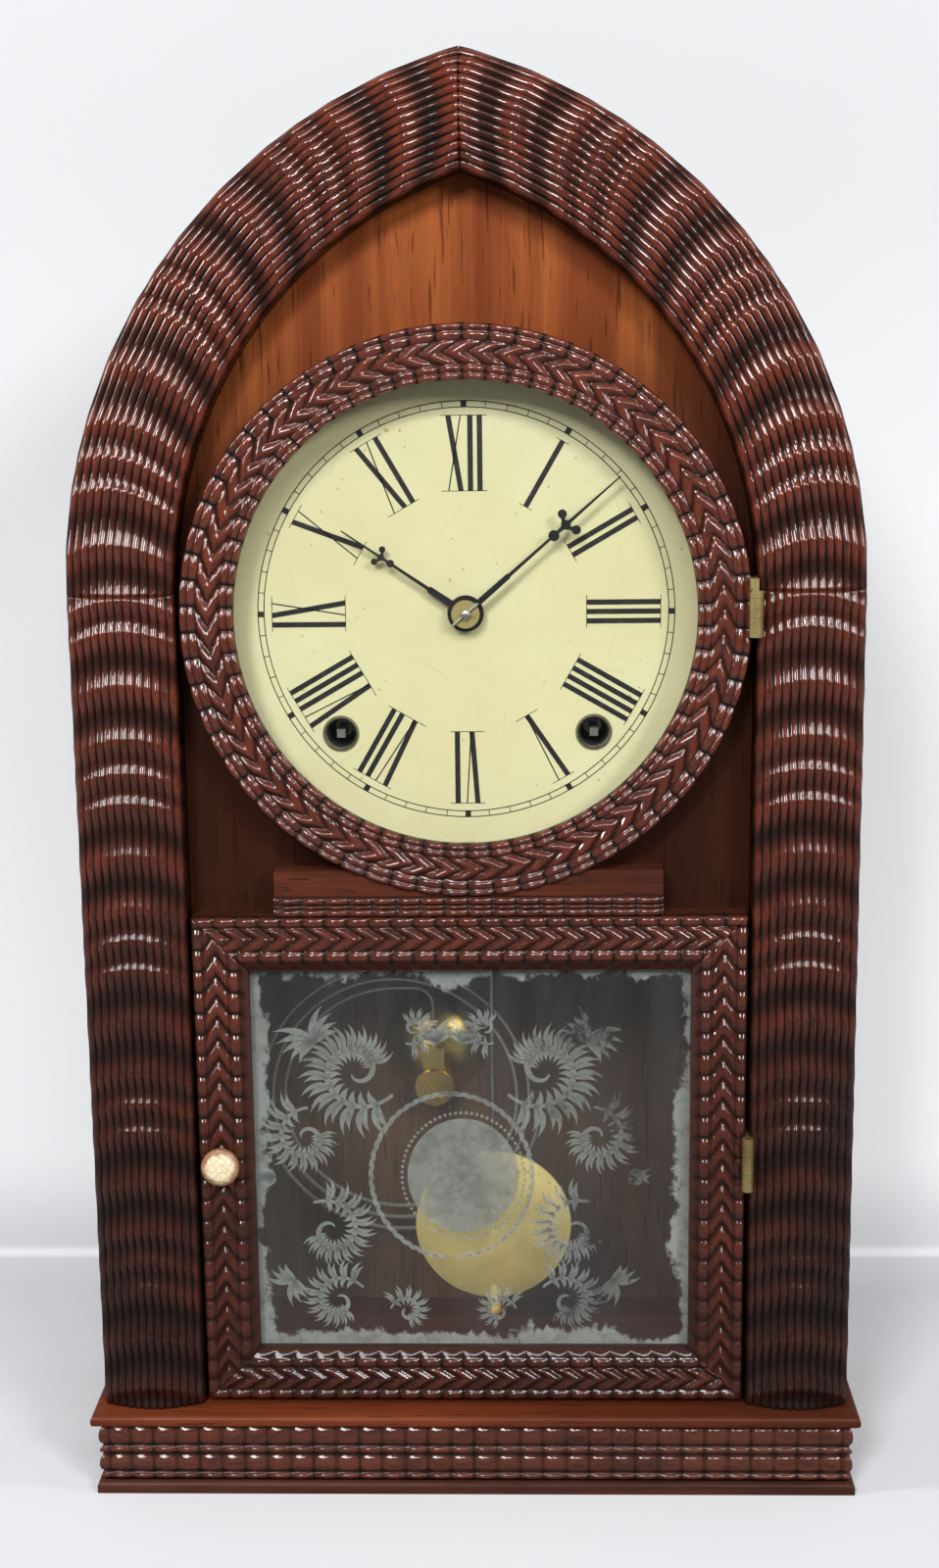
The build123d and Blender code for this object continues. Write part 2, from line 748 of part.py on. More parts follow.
pan_points = [(dial_centre_hole, dial_y), (dial_radius, dial_y), (dial_radius, panel_back_y),
              (dial_flange_radius, panel_back_y), (dial_flange_radius, panel_back_y + dial_sheet),
              (dial_radius - dial_sheet, panel_back_y + dial_sheet),
              (dial_radius - dial_sheet, dial_y + dial_sheet), (dial_centre_hole, dial_y + dial_sheet)]
dial_pan = turned(0, ring_z, pan_points)
winding_z = ring_z - winding_drop
winding_places = [(winding_x, winding_z), (-winding_x, winding_z)]
for x, z in winding_places:
    dial_pan -= disc(x, z, grommet_inner_radius, dial_y - overrun, dial_y + dial_sheet + overrun)
export("dial_pan", dial_pan)


def grommet(x, z):
    """A bevelled metal ring pressed over a winding hole."""
    crest = dial_y - grommet_height
    bevel = grommet_bevel
    return turned(x, z, [(grommet_inner_radius, dial_y), (grommet_inner_radius + bevel, crest),
                         (grommet_outer_radius - bevel, crest), (grommet_outer_radius, dial_y)])


export("winding_grommets", *[grommet(x, z) for x, z in winding_places])


# Wheels and pinions

def toothed(teeth, module, addendum, dedendum, start):
    """A toothed outline about the origin, with pointed teeth, one of them at the start angle."""
    pitch_radius = teeth * module / 2
    step = 2 * pi / teeth
    points = []
    for i in range(teeth):
        for radius, angle in ((pitch_radius + addendum * module, start + i * step),
                              (pitch_radius - dedendum * module, start + (i + 1 / 2) * step)):
            points.append((radius * cos(angle), radius * sin(angle)))
    return Polygon(*points, align=None)


def wheel_outline(teeth, module, start):
    return toothed(teeth, module, addendum_share, dedendum_share, start)


def pinion_outline(leaves, module, start):
    return toothed(leaves, module, pinion_addendum_share, pinion_dedendum_share, start)


def crossed_out(outline, rim_radius, hub_radius, start):
    """A wheel outline with four windows cut out, so that four parallel-sided spokes are left."""
    inner, outer = asin(spoke_width / 2 / hub_radius), asin(spoke_width / 2 / rim_radius)
    for i in range(4):
        low, high = start + pi / 2 * i, start + pi / 2 * (i + 1)
        corners = [(hub_radius, low + inner), (rim_radius, low + outer), (rim_radius, (low + high) / 2),
                   (rim_radius, high - outer), (hub_radius, high - inner)]
        outline -= Polygon(*[(r * cos(angle), r * sin(angle)) for r, angle in corners], align=None)
    return outline


def facing(a, b):
    """The direction from one arbor to another."""
    return atan2(b[1] - a[1], b[0] - a[0])


def placed(outline, at):
    return Pos(at[0], ring_z + at[1]) * outline


def wheel(at, teeth, module, start, y_front, bore, thickness=wheel_thickness, crossed=True, loose=False):
    """A brass wheel, tight or loose on its arbor, with one tooth at the start angle."""
    outline = wheel_outline(teeth, module, start)
    root = teeth * module / 2 - dedendum_share * module
    if crossed:
        hub = max(root * hub_share, bore + spoke_width / 2)
        outline = crossed_out(outline, root * rim_share, hub, start)
    hole = running_hole(bore) if loose else bar(bore)
    return slab(placed(outline - hole, at), y_front, y_front + thickness)


def pinion(at, leaves, module, start, y_front, y_back):
    return slab(placed(pinion_outline(leaves, module, start), at), y_front, y_back)


def arbor(at, radius, y_front, y_back):
    """A steel arbor along Y."""
    return slab(placed(bar(radius), at), y_front, y_back)


def between_plates(at, radius):
    """An arbor that runs in both plates and ends flush with their outsides."""
    return arbor(at, radius, front_plate_y, back_plate_back)


def beyond(at, distance, angle):
    return at[0] + distance * cos(angle), at[1] + distance * sin(angle)


def third_corner(a, from_a, b, from_b, side):
    """The point at the two given distances from a and from b."""
    span = hypot(b[0] - a[0], b[1] - a[1])
    along = (from_a**2 - from_b**2 + span**2) / (2 * span)
    height = sqrt(max(from_a**2 - along**2, 0)) * side
    angle = facing(a, b)
    return (a[0] + along * cos(angle) - height * sin(angle),
            a[1] + along * sin(angle) + height * cos(angle))


# Arbor positions follow from the tooth counts and modules of the wheels that meet there
main_span = (main_tooth_count + second_leaf_count) * main_module / 2
second_span = (second_tooth_count + centre_leaf_count) * second_module / 2
centre_span = (centre_tooth_count + fourth_leaf_count) * centre_module / 2
fourth_span = (fourth_tooth_count + escape_leaf_count) * fourth_module / 2
motion_span = (cannon_leaf_count + minute_tooth_count) * minute_module / 2
strike_span = (strike_tooth_count + pin_leaf_count) * strike_module / 2
pin_span = (pin_tooth_count + warning_leaf_count) * pin_module / 2
warning_span = (warning_tooth_count + fly_leaf_count) * warning_module / 2

centre_at = (0.0, 0.0)
time_main_at = (winding_x, -winding_drop)
time_second_at = third_corner(time_main_at, main_span, centre_at, second_span, 1)
escape_drop = escape_radius * escape_drop_ratio
escape_at = (pendulum_x, verge_height - escape_drop)
time_fourth_at = third_corner(centre_at, centre_span, escape_at, fourth_span, -1)
verge_at = (pendulum_x, verge_height)
minute_wheel_at = beyond(centre_at, motion_span, radians(minute_wheel_angle))
strike_main_at = (-winding_x, -winding_drop)
strike_second_at = beyond(strike_main_at, main_span, radians(strike_second_angle))
pin_wheel_at = beyond(strike_second_at, strike_span, radians(pin_wheel_angle))
warning_at = beyond(pin_wheel_at, pin_span, radians(warning_angle))
fly_at = beyond(warning_at, warning_span, radians(fly_angle))

# Wheel levels from the back of the front plate
main_level = front_plate_back + main_wheel_gap
spring_level = main_level + main_wheel_thickness + spring_gap
fourth_level = front_plate_back + fourth_wheel_gap
centre_level = front_plate_back + centre_wheel_gap
second_level = front_plate_back + second_wheel_gap


# Mainsprings: a flat strip wound outwards in half turns, its end let into a short post
spring_end_x = winding_x - spring_inner_radius - spring_half_turn_count * spring_pitch / 2


def half_turns(start, first_radius, step, count):
    """Arcs that spiral outwards from a start on the left: each half turn is wider by one step."""
    x, z = start
    way = 1
    arcs = []
    for k in range(count):
        radius = first_radius + k * step
        centre = x + way * radius
        arcs.append(CenterArc((centre, z), radius, 180 if way == 1 else 0, 180))
        x = centre + way * radius
        way = -way
    return arcs


def mainspring():
    """The going side's spring, swept along its spiral from the arbor's collar to its post."""
    x, z = time_main_at
    arcs = half_turns((x - spring_inner_radius, z), spring_inner_radius, spring_pitch / 2,
                      spring_half_turn_count)
    end = arcs[-1] @ 1
    tail = Line(end, (end.X, -spring_post_drop))
    middle_y = spring_level + spring_width / 2
    path = Plane.XZ.offset(-middle_y) * Pos(0, ring_z) * Wire([item.edge() for item in (*arcs, tail)])
    start_plane = Plane(origin=path @ 0, x_dir=(1, 0, 0), z_dir=path % 0)
    return sweep(start_plane * Rectangle(spring_strip, spring_width), path=path)


time_spring = mainspring()
strike_spring = mirror(time_spring, Plane.YZ)
export("mainsprings", time_spring, strike_spring)
print("mainspring: gap between turns", round(spring_pitch - spring_strip, 2), "mm,",
      spring_half_turn_count / 2, "turns; volume", round(time_spring.volume), "mm3")

# Plates, pillars and the blocks that stand the movement off the backboard


def on_both_sides(*places):
    """Each place and its mirror image."""
    return [(side * x, z) for x, z in places for side in (1, -1)]


centre_arbor_radius = long_arbor_radius
pillar_places = [pillar_below, *on_both_sides(pillar_beside, pillar_above)]
spring_post_places = on_both_sides((spring_end_x, -spring_post_drop))
block_places = on_both_sides(block_below, block_above)
arbor_places = [(centre_at, centre_arbor_radius), (escape_at, escape_arbor_radius),
                (time_main_at, arbor_radius), (strike_main_at, arbor_radius),
                (time_second_at, long_arbor_radius), (time_fourth_at, train_arbor_radius),
                (strike_second_at, train_arbor_radius), (pin_wheel_at, train_arbor_radius),
                (warning_at, slim_arbor_radius), (fly_at, slim_arbor_radius),
                (hammer_at, hammer_arbor_radius)]


def movement_plate(y_front):
    """A brass plate with a running hole for every arbor."""
    outline = Pos(0, ring_z + (plate_top - plate_bottom) / 2) * RectangleRounded(
        2 * plate_half_width, plate_top + plate_bottom, plate_corner)
    for at, radius in arbor_places:
        outline -= placed(running_hole(radius), at)
    return slab(outline, y_front, y_front + plate_thickness)


export("front_plate", movement_plate(front_plate_y))
export("back_plate", movement_plate(back_plate_y))


def spring_post(at, spring):
    """A short post on the back plate, with a slit for the end of a spring."""
    return arbor(at, pillar_radius, spring_level, back_plate_y) - spring


pillars = [arbor(at, pillar_radius, front_plate_back, back_plate_y) for at in pillar_places]
posts = [spring_post(at, spring) for at, spring in zip(spring_post_places, (time_spring, strike_spring))]
export("plate_pillars", *pillars, *posts)


def movement_block(at):
    size = block_size / 2
    x, z = at[0], ring_z + at[1]
    return block((x - size, x + size), (back_plate_back, backboard_y), (z - size, z + size))


export("movement_blocks", *[movement_block(at) for at in block_places])

# Going train

main_back = main_level + main_wheel_thickness


def ratchet_outline(teeth, tip_radius, depth, lean):
    """Saw teeth: each a steep face and a long slope."""
    points = []
    for i in range(teeth):
        tip = 2 * pi * i / teeth
        root = tip + lean * 2 * pi / teeth
        points.append((tip_radius * cos(tip), tip_radius * sin(tip)))
        points.append(((tip_radius - depth) * cos(root), (tip_radius - depth) * sin(root)))
    return Polygon(*points, align=None)


def click(at):
    """The pawl on a main wheel: it ends just short of the ratchet's tips."""
    tip = ratchet_radius + click_clearance
    nose, heel = radians(click_nose_angle), radians(click_heel_angle)
    points = [(tip * cos(nose), tip * sin(nose)), (click_pivot_radius, -click_width / 2),
              (click_pivot_radius + click_width, 0), (click_pivot_radius, click_width),
              ((tip + click_heel_step) * cos(heel), (tip + click_width) * sin(heel))]
    outer = Polygon(*points, align=None) - Circle(tip)
    return slab(placed(outer, at), main_back, main_back + ratchet_gap + ratchet_thickness)


def main_wheel(at, next_at):
    """The great wheel, free on the winding arbor, and its click."""
    return [wheel(at, main_tooth_count, main_module, facing(at, next_at), main_level,
                  arbor_radius, main_wheel_thickness, crossed=False, loose=True), click(at)]


def winding_arbor(at):
    """The arbor that a key turns: square at the front, with ratchet and spring collar."""
    front = dial_y + dial_sheet / 2
    shoulder_y = front_plate_y - winding_shoulder
    shaft = arbor(at, arbor_radius, shoulder_y, back_plate_back)
    shaft += slab(placed(Rectangle(winding_square, winding_square), at), front, shoulder_y)
    shaft += arbor(at, spring_collar_radius, spring_level, spring_level + spring_width)
    teeth = placed(ratchet_outline(ratchet_tooth_count, ratchet_radius, ratchet_depth, ratchet_lean), at)
    ratchet_y = main_back + ratchet_gap
    return shaft + slab(teeth, ratchet_y, ratchet_y + ratchet_thickness)


def compound_arbor(at, radius, pinion_leaves, pinion_module, pinion_start, pinion_y, pinion_thickness):
    """An arbor with its pinion in one piece."""
    shaft = between_plates(at, radius)
    return shaft + pinion(at, pinion_leaves, pinion_module, pinion_start, pinion_y - pinion_overhang,
                          pinion_y + pinion_thickness + pinion_overhang)


def gap_facing(at, driver, leaves):
    """The start angle that turns a gap between leaves towards the driving wheel."""
    return facing(at, driver) + pi / leaves


export("time_main_wheel", *main_wheel(time_main_at, time_second_at))
export("time_winding_arbor", winding_arbor(time_main_at))
export("time_second_wheel",
       wheel(time_second_at, second_tooth_count, second_module, facing(time_second_at, centre_at),
             second_level, long_arbor_radius),
       compound_arbor(time_second_at, long_arbor_radius, second_leaf_count, main_module,
                      gap_facing(time_second_at, time_main_at, second_leaf_count), main_level,
                      main_wheel_thickness))

# Centre arbor: it runs through the front plate, carries the cannon pinion and ends in a square
hour_hand_y = dial_y - hour_hand_to_dial - hand_sheet
minute_hand_y = hour_hand_y - minute_hand_to_hour_hand - hand_sheet
hand_washer_y = minute_hand_y - hand_washer_thickness
hand_pin_y = hand_washer_y - hand_pin_radius - hand_pin_gap
centre_end_y = hand_pin_y - 2 * hand_pin_radius
square_y = hour_hand_y - minute_hand_to_hour_hand / 2
cannon_y = front_plate_y - cannon_to_plate
cannon_plane = (cannon_y, cannon_y + motion_thickness)
hour_plane = (cannon_y - hour_wheel_gap - motion_thickness, cannon_y - hour_wheel_gap)
minute_turn = -minute_hand_angle
hour_turn = -hour_hand_angle

centre_shaft = arbor(centre_at, centre_arbor_radius, square_y, back_plate_back)
centre_shaft += pinion(centre_at, centre_leaf_count, second_module,
                       gap_facing(centre_at, time_second_at, centre_leaf_count),
                       second_level - pinion_overhang, second_level + wheel_thickness + pinion_overhang)
square = Rot(0, 0, minute_turn) * Rectangle(hand_square, hand_square)
centre_shaft += slab(placed(square, centre_at), centre_end_y, square_y)
hand_pin = (Pos(0, hand_pin_y, ring_z) * Rot(0, -minute_turn, 0)
            * Cylinder(hand_pin_radius, hand_pin_length))
cannon = pinion(centre_at, cannon_leaf_count, minute_module,
                gap_facing(centre_at, minute_wheel_at, cannon_leaf_count), *cannon_plane)
cannon -= arbor(centre_at, centre_arbor_radius, *cannon_plane)
export("centre_wheel", centre_shaft - hand_pin, cannon,
       wheel(centre_at, centre_tooth_count, centre_module, facing(centre_at, time_fourth_at), centre_level,
             centre_arbor_radius))
export("hand_pin", hand_pin)
export("time_fourth_wheel",
       wheel(time_fourth_at, fourth_tooth_count, fourth_module, facing(time_fourth_at, escape_at),
             fourth_level, train_arbor_radius),
       compound_arbor(time_fourth_at, train_arbor_radius, fourth_leaf_count, centre_module,
                      gap_facing(time_fourth_at, centre_at, fourth_leaf_count), centre_level,
                      wheel_thickness))

# Escape wheel: it stands in front of the front plate, under the verge
escape_y = (front_plate_y - escape_to_plate - escape_thickness, front_plate_y - escape_to_plate)
escape_outline = ratchet_outline(escape_tooth_count, escape_radius, escape_tooth_depth, escape_lean)
escape_rim = (escape_radius - escape_tooth_depth) * rim_share
escape_outline = crossed_out(escape_outline, escape_rim, spoke_width, 0)
escape_shaft = arbor(escape_at, escape_arbor_radius, escape_y[0] - arbor_shake, back_plate_back)
escape_shaft += pinion(escape_at, escape_leaf_count, fourth_module,
                       gap_facing(escape_at, time_fourth_at, escape_leaf_count),
                       fourth_level - pinion_overhang, fourth_level + wheel_thickness + pinion_overhang)
export("escape_wheel", slab(placed(escape_outline - bar(escape_arbor_radius), escape_at), *escape_y),
       escape_shaft)

# Motion work: minute wheel on its stud, hour wheel with its pipe round the centre arbor
minute_arm = wheel(minute_wheel_at, minute_tooth_count, minute_module, facing(minute_wheel_at, centre_at),
                   cannon_plane[0], stud_radius, motion_thickness, crossed=False, loose=True)
minute_leaves = pinion_outline(minute_leaf_count, hour_module,
                               gap_facing(minute_wheel_at, centre_at, minute_leaf_count))
minute_arm += slab(placed(minute_leaves - running_hole(stud_radius), minute_wheel_at),
                   hour_plane[0] - arbor_shake, cannon_plane[0])
export("minute_wheel", minute_arm)
hour_arm = wheel(centre_at, hour_tooth_count, hour_module, facing(centre_at, minute_wheel_at), hour_plane[0],
                 centre_arbor_radius, motion_thickness, crossed=False, loose=True)
hour_arm += slab(placed(bar(hour_pipe_radius) - running_hole(centre_arbor_radius), centre_at),
                 hour_hand_y - arbor_shake, hour_plane[0])
export("hour_wheel", hour_arm)


# Hands: a stem with a step, a round boss, a neck that forks into two balls, and a fine pointer

def hand(length, boss_at, hub_radius, root_width, scale):
    """A hand that points along +Z; scale sets the size of its boss, fork and balls."""
    fork = [(x * scale, boss_at + z * scale) for x, z in fork_points]
    step = hand_stem_step * boss_at / minute_boss_at
    outline = symmetric([(root_width, 0), (root_width * hand_root_share, step), (hand_stem_width, step),
                         (hand_neck_width, boss_at), *fork, (hand_tip_width, length)])
    outline += Circle(hub_radius)
    outline += Pos(0, boss_at) * Circle(hand_boss_radius * scale)
    for side in (-1, 1):
        place = Pos(side * fork_ball[0] * scale, boss_at + fork_ball[1] * scale)
        outline += place * Circle(hand_ball_radius * scale)
    return outline


minute_outline = Rot(0, 0, minute_turn) * hand(minute_hand_length, minute_boss_at, minute_collet_radius,
                                               minute_root_width, 1)
hour_outline = Rot(0, 0, hour_turn) * hand(hour_hand_length, hour_boss_at, hour_collet_radius,
                                           hour_root_width, hour_hand_share)
export("minute_hand", slab(placed(minute_outline - square, centre_at), minute_hand_y,
                           minute_hand_y + hand_sheet))
export("hour_hand", slab(placed(hour_outline - bar(hour_pipe_radius), centre_at), hour_hand_y,
                         hour_hand_y + hand_sheet))
export("hand_washer", slab(placed(Circle(hand_washer_radius) - square, centre_at), hand_washer_y,
                           minute_hand_y))

# Verge: a strip anchor and its crutch, on a stud of the front plate
verge_y = (escape_y[0] - verge_lap, escape_y[1] + verge_lap)
verge_hub_y = (verge_y[0] - verge_hub_front, verge_y[1] + verge_hub_rear)
rod_y = front_plate_y - rod_depth
tangent = acos(escape_radius / escape_drop)
pallet_lift = sqrt(escape_drop**2 - escape_radius**2) * sin(radians(pendulum_swing))
pallet_radius = escape_radius + pallet_lift + pallet_clearance
pallet_x = pallet_radius * sin(tangent)
pallet_drop = escape_drop - pallet_radius * cos(tangent)


def verge():
    """Two arms that bend down to the pallets, a hub on the stud, and the crutch with its loop."""
    x, z = verge_at
    outline = bar(verge_hub_radius)
    for side in (-1, 1):
        outline += Polygon((0, verge_hub_radius),
                           (side * (pallet_x + pallet_shoulder), pallet_width - pallet_drop),
                           (side * (pallet_x + pallet_width), -pallet_drop), (side * pallet_x, -pallet_drop),
                           (side * (pallet_x - pallet_undercut), pallet_height - pallet_drop),
                           (0, -verge_hub_radius * verge_web_share), align=None)
    anchor = slab(placed(outline, verge_at), *verge_y)
    anchor += arbor(verge_at, verge_hub_radius, *verge_hub_y)
    anchor -= slab(placed(running_hole(stud_radius), verge_at), front_y, front_plate_back)
    wire_y = verge_hub_y[0]
    low = ring_z + z - crutch_length
    wire = block((x - crutch_width / 2, x + crutch_width / 2), (wire_y, wire_y + crutch_width),
                 (low, ring_z + z - verge_hub_radius + crutch_width / 2))
    hole = rod_radius + crutch_play
    outer = hole + crutch_ring
    loop = block((x - outer, x + outer), (rod_y - outer, wire_y + crutch_width), (low, low + crutch_ring))
    loop -= block((x - hole, x + hole), (rod_y - hole, rod_y + hole),
                  (low - overrun, low + crutch_ring + overrun))
    return anchor + wire + loop


export("verge", verge())
stud_end = {verge_at: verge_hub_y[0] - stud_shoulder, minute_wheel_at: hour_plane[0] - 2 * arbor_shake}
export("plate_studs", *[arbor(at, stud_radius, end, front_plate_y) for at, end in stud_end.items()])

# Pendulum: cock, suspension strip and rod, bob, rating nut
pivot_z = ring_z + verge_height
cock_front_y = rod_y - suspension_width / 2 - cock_front_lap
cock_leg_back_y = rod_y + suspension_width / 2 + cock_back_lap
cock_arm_z = pivot_z + cock_arm_rise


def pendulum_cock():
    """An arm from the front plate whose down-turned end grips the suspension strip."""
    width = (pendulum_x - cock_half_width, pendulum_x + cock_half_width)
    arm = block(width, (cock_front_y, front_plate_y), (cock_arm_z, cock_arm_z + 2 * cock_half_width))
    leg = block(width, (cock_front_y, cock_leg_back_y), (pivot_z + suspension_gap, cock_arm_z))
    return arm + leg


export("pendulum_cock", pendulum_cock())
strip_low = pivot_z - suspension_length
rod_low = rating_nut_z - rating_nut_thickness / 2 - rod_end_length
strip = block((pendulum_x - suspension_thickness / 2, pendulum_x + suspension_thickness / 2),
              (rod_y - suspension_width / 2, rod_y + suspension_width / 2), (strip_low, pivot_z))
rod_top = strip_low + suspension_lap
rod = Pos(pendulum_x, rod_y, rod_low) * extrude(Circle(rod_radius), amount=rod_top - rod_low)
export("pendulum_rod", rod + strip)


def bob():
    """A lens-shaped bob with a short sleeve below it, free to slide on the rod."""
    front, back = rod_y - bob_thickness / 2, rod_y + bob_thickness / 2
    rim = (rod_y - bob_rim / 2, rod_y + bob_rim / 2)
    edges = [domed(bob_radius, rim[0], front), Line((bob_radius, rim[0]), (bob_radius, rim[1])),
             domed(bob_radius, rim[1], back), Line((0, back), (0, front))]
    lens = Pos(pendulum_x, 0, bob_z) * revolve(bound(*edges), Axis.Y)
    nut_top = rating_nut_z + rating_nut_thickness / 2
    sleeve_low = nut_top + knuckle_gap
    sleeve_length = bob_z - bob_radius / 2 - sleeve_low
    lens += Pos(pendulum_x, rod_y, sleeve_low) * extrude(Circle(bob_sleeve_radius), amount=sleeve_length)
    bore = extrude(Circle(rod_radius + running_clearance), amount=2 * bob_z)
    return lens - Pos(pendulum_x, rod_y, sleeve_low) * bore


export("pendulum_bob", bob())
nut = RegularPolygon(rating_nut_radius, rating_nut_side_count) - Circle(rod_radius + running_clearance)
nut = extrude(nut, amount=rating_nut_thickness)
export("rating_nut", Pos(pendulum_x, rod_y, rating_nut_z - rating_nut_thickness / 2) * nut)

# Striking train
export("strike_main_wheel", *main_wheel(strike_main_at, strike_second_at))
export("strike_winding_arbor", winding_arbor(strike_main_at))
export("strike_second_wheel",
       wheel(strike_second_at, strike_tooth_count, strike_module, facing(strike_second_at, pin_wheel_at),
             second_level, train_arbor_radius),
       compound_arbor(strike_second_at, train_arbor_radius, second_leaf_count, main_module,
                      gap_facing(strike_second_at, strike_main_at, second_leaf_count), main_level,
                      main_wheel_thickness))
pin_wheel_body = wheel(pin_wheel_at, pin_tooth_count, pin_module, facing(pin_wheel_at, warning_at),
                       centre_level, train_arbor_radius)
for i in range(pin_count):
    place = beyond(pin_wheel_at, pin_circle, radians(first_pin_angle + 360 / pin_count * i))
    pin = placed(RegularPolygon(pin_radius, pin_side_count), place)
    pin_wheel_body += slab(pin, centre_level, centre_level + wheel_thickness + pin_length)
export("pin_wheel", pin_wheel_body,
       compound_arbor(pin_wheel_at, train_arbor_radius, pin_leaf_count, strike_module,
                      gap_facing(pin_wheel_at, strike_second_at, pin_leaf_count), second_level,
                      wheel_thickness))
export("warning_wheel",
       wheel(warning_at, warning_tooth_count, warning_module, facing(warning_at, fly_at), fourth_level,
             slim_arbor_radius),
       compound_arbor(warning_at, slim_arbor_radius, warning_leaf_count, pin_module,
                      gap_facing(warning_at, pin_wheel_at, warning_leaf_count), centre_level,
                      wheel_thickness))
fly_span = (front_plate_back + fly_gap, front_plate_back + fly_gap + fly_length)
fly_shaft = compound_arbor(fly_at, slim_arbor_radius, fly_leaf_count, warning_module,
                           gap_facing(fly_at, warning_at, fly_leaf_count), fourth_level, wheel_thickness)
fly_blade = slab(placed(Rectangle(2 * fly_radius, fly_sheet), fly_at), *fly_span)
export("fly", fly_shaft, fly_blade - arbor(fly_at, slim_arbor_radius, *fly_span))


# Gong: a wire coil whose inner end drops into the post of a domed base on the backboard

def gong_path():
    """From the post upwards, round a tight bend, and outwards in a quarter and five half turns."""
    x, z = gong_base_centre[0], gong_base_centre[1] + gong_post_radius
    left = gong_centre[0] - gong_first_radius
    top = gong_centre[1] + gong_first_radius
    bend = (x - gong_bend_radius, top - gong_bend_radius)
    edges = [Line((x, z), (x, bend[1])), CenterArc(bend, gong_bend_radius, 0, 90),
             Line((bend[0], top), (gong_centre[0], top)),
             CenterArc(gong_centre, gong_first_radius, 90, 90)]
    turns = half_turns((left, gong_centre[1]), gong_first_radius + gong_pitch / 4, gong_pitch / 2,
                       gong_half_turn_count)
    end = turns[-1] @ 1
    edges += turns + [Line(end, (end.X, end.Y + 2 * gong_wire_radius))]
    return Plane.XZ.offset(-gong_y) * Wire([item.edge() for item in edges])


coil_path = gong_path()
coil_start = Plane(origin=coil_path @ 0, z_dir=coil_path % 0)
coil = sweep(coil_start * RegularPolygon(gong_wire_radius, gong_wire_side_count), path=coil_path)
export("gong_coil", coil)


def least_gap(path, diameter, count):
    """The least distance between stretches of the path that lie over a quarter turn apart."""
    points = [path @ (i / count) for i in range(count + 1)]
    apart = count // 8
    pairs = [(i, j) for i in range(count) for j in range(i + apart, count)]
    return min((points[i] - points[j]).length for i, j in pairs) - diameter


coil_gap = least_gap(coil_path, 2 * gong_wire_radius, gong_probe_count)
print("gong coil: least gap to itself", round(coil_gap, 2), "mm, length", round(coil_path.length), "mm")


def gong_base():
    """A domed brass casting with a square post for the wire and a boss for its one big screw."""
    x, z = gong_base_centre
    crown = backboard_y - gong_base_height
    edge_y = backboard_y - gong_base_edge
    edges = [Line((0, backboard_y), (gong_base_radius, backboard_y)),
             Line((gong_base_radius, backboard_y), (gong_base_radius, edge_y)),
             domed(gong_base_radius, edge_y, crown), Line((0, crown), (0, backboard_y))]
    dome = Pos(x, 0, z) * revolve(bound(*edges), Axis.Y)
    post = block((x - gong_post_radius, x + gong_post_radius),
                 (gong_y - gong_post_radius, backboard_y - gong_base_height / 2),
                 (z - gong_post_radius, z + gong_post_radius))
    screw_z = z - gong_screw_drop
    seat_y = gong_y + gong_post_radius
    boss = slab(Pos(x, screw_z) * bar(gong_screw_radius + gong_boss_rim), seat_y, backboard_y)
    head = disc(x, screw_z, gong_screw_radius, gong_y + gong_head_share * gong_post_radius, seat_y)
    cutter = Box(3 * gong_screw_radius, gong_slot_depth, gong_slot_width)
    slot = Pos(x, gong_y, screw_z) * Rot(0, gong_slot_angle, 0) * cutter
    return dome + post + boss, head - slot


export("gong_base", *gong_base())

# Hammer: an arbor with a tail by the pins, and a rod behind the back plate down to its head
last_top_radius = gong_first_radius + gong_pitch / 4 + 3 * gong_pitch / 2
last_top_centre = gong_centre[0] - gong_first_radius + (gong_first_radius + gong_pitch / 4) - gong_pitch / 2
reach = last_top_radius + gong_wire_radius + hammer_rest_gap + hammer_head_length / 2
head_x = last_top_centre + reach * cos(radians(hammer_rest_angle))
head_z = gong_centre[1] + reach * sin(radians(hammer_rest_angle))


def hammer():
    """The hammer in its rest position, its head just clear of the coil."""
    x, z = hammer_at[0], ring_z + hammer_at[1]
    shaft = arbor(hammer_at, hammer_arbor_radius, front_plate_y, gong_y + hammer_rod_radius)
    tail_reach = hypot(pin_wheel_at[0] - hammer_at[0], pin_wheel_at[1] - hammer_at[1]) - pin_circle
    tail_length = tail_reach - pin_radius - click_clearance
    angle = degrees(facing(hammer_at, pin_wheel_at))
    tail = Rot(0, 0, angle) * Pos(tail_length / 2, 0) * Rectangle(tail_length, 2 * pin_radius)
    tail_y = centre_level + wheel_thickness + arbor_shake
    shaft += slab(placed(tail, hammer_at), tail_y, tail_y + pin_length)
    length = hypot(head_x - x, head_z - z)
    tilt = degrees(atan2(head_x - x, z - head_z))
    rod = Pos(0, 0, -length) * extrude(bar(hammer_rod_radius), amount=length)
    rod = Pos(x, gong_y, z) * Rot(0, -tilt, 0) * rod
    head = (Pos(head_x, gong_y, head_z) * Rot(0, 90 - hammer_rest_angle, 0)
            * Cylinder(hammer_head_radius, hammer_head_length))
    return shaft + rod, head - rod


export("hammer", *hammer())
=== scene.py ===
# %% [markdown]
# # A beehive shelf clock
# This walks through the look of an old shelf clock: a pointed case of dark
# ripple-cut wood, a painted zinc dial and a silvered glass tablet over a swinging bob.
# The solid parts were drawn beforehand with their joints. Here they are loaded, dressed
# and, where the machine-cut ripples matter, cut again in fine relief.

# %% Load the solid model
from math import acos, cos, hypot, pi, radians, sin, sqrt

import bmesh
import bpy
from mathutils import Matrix, Vector


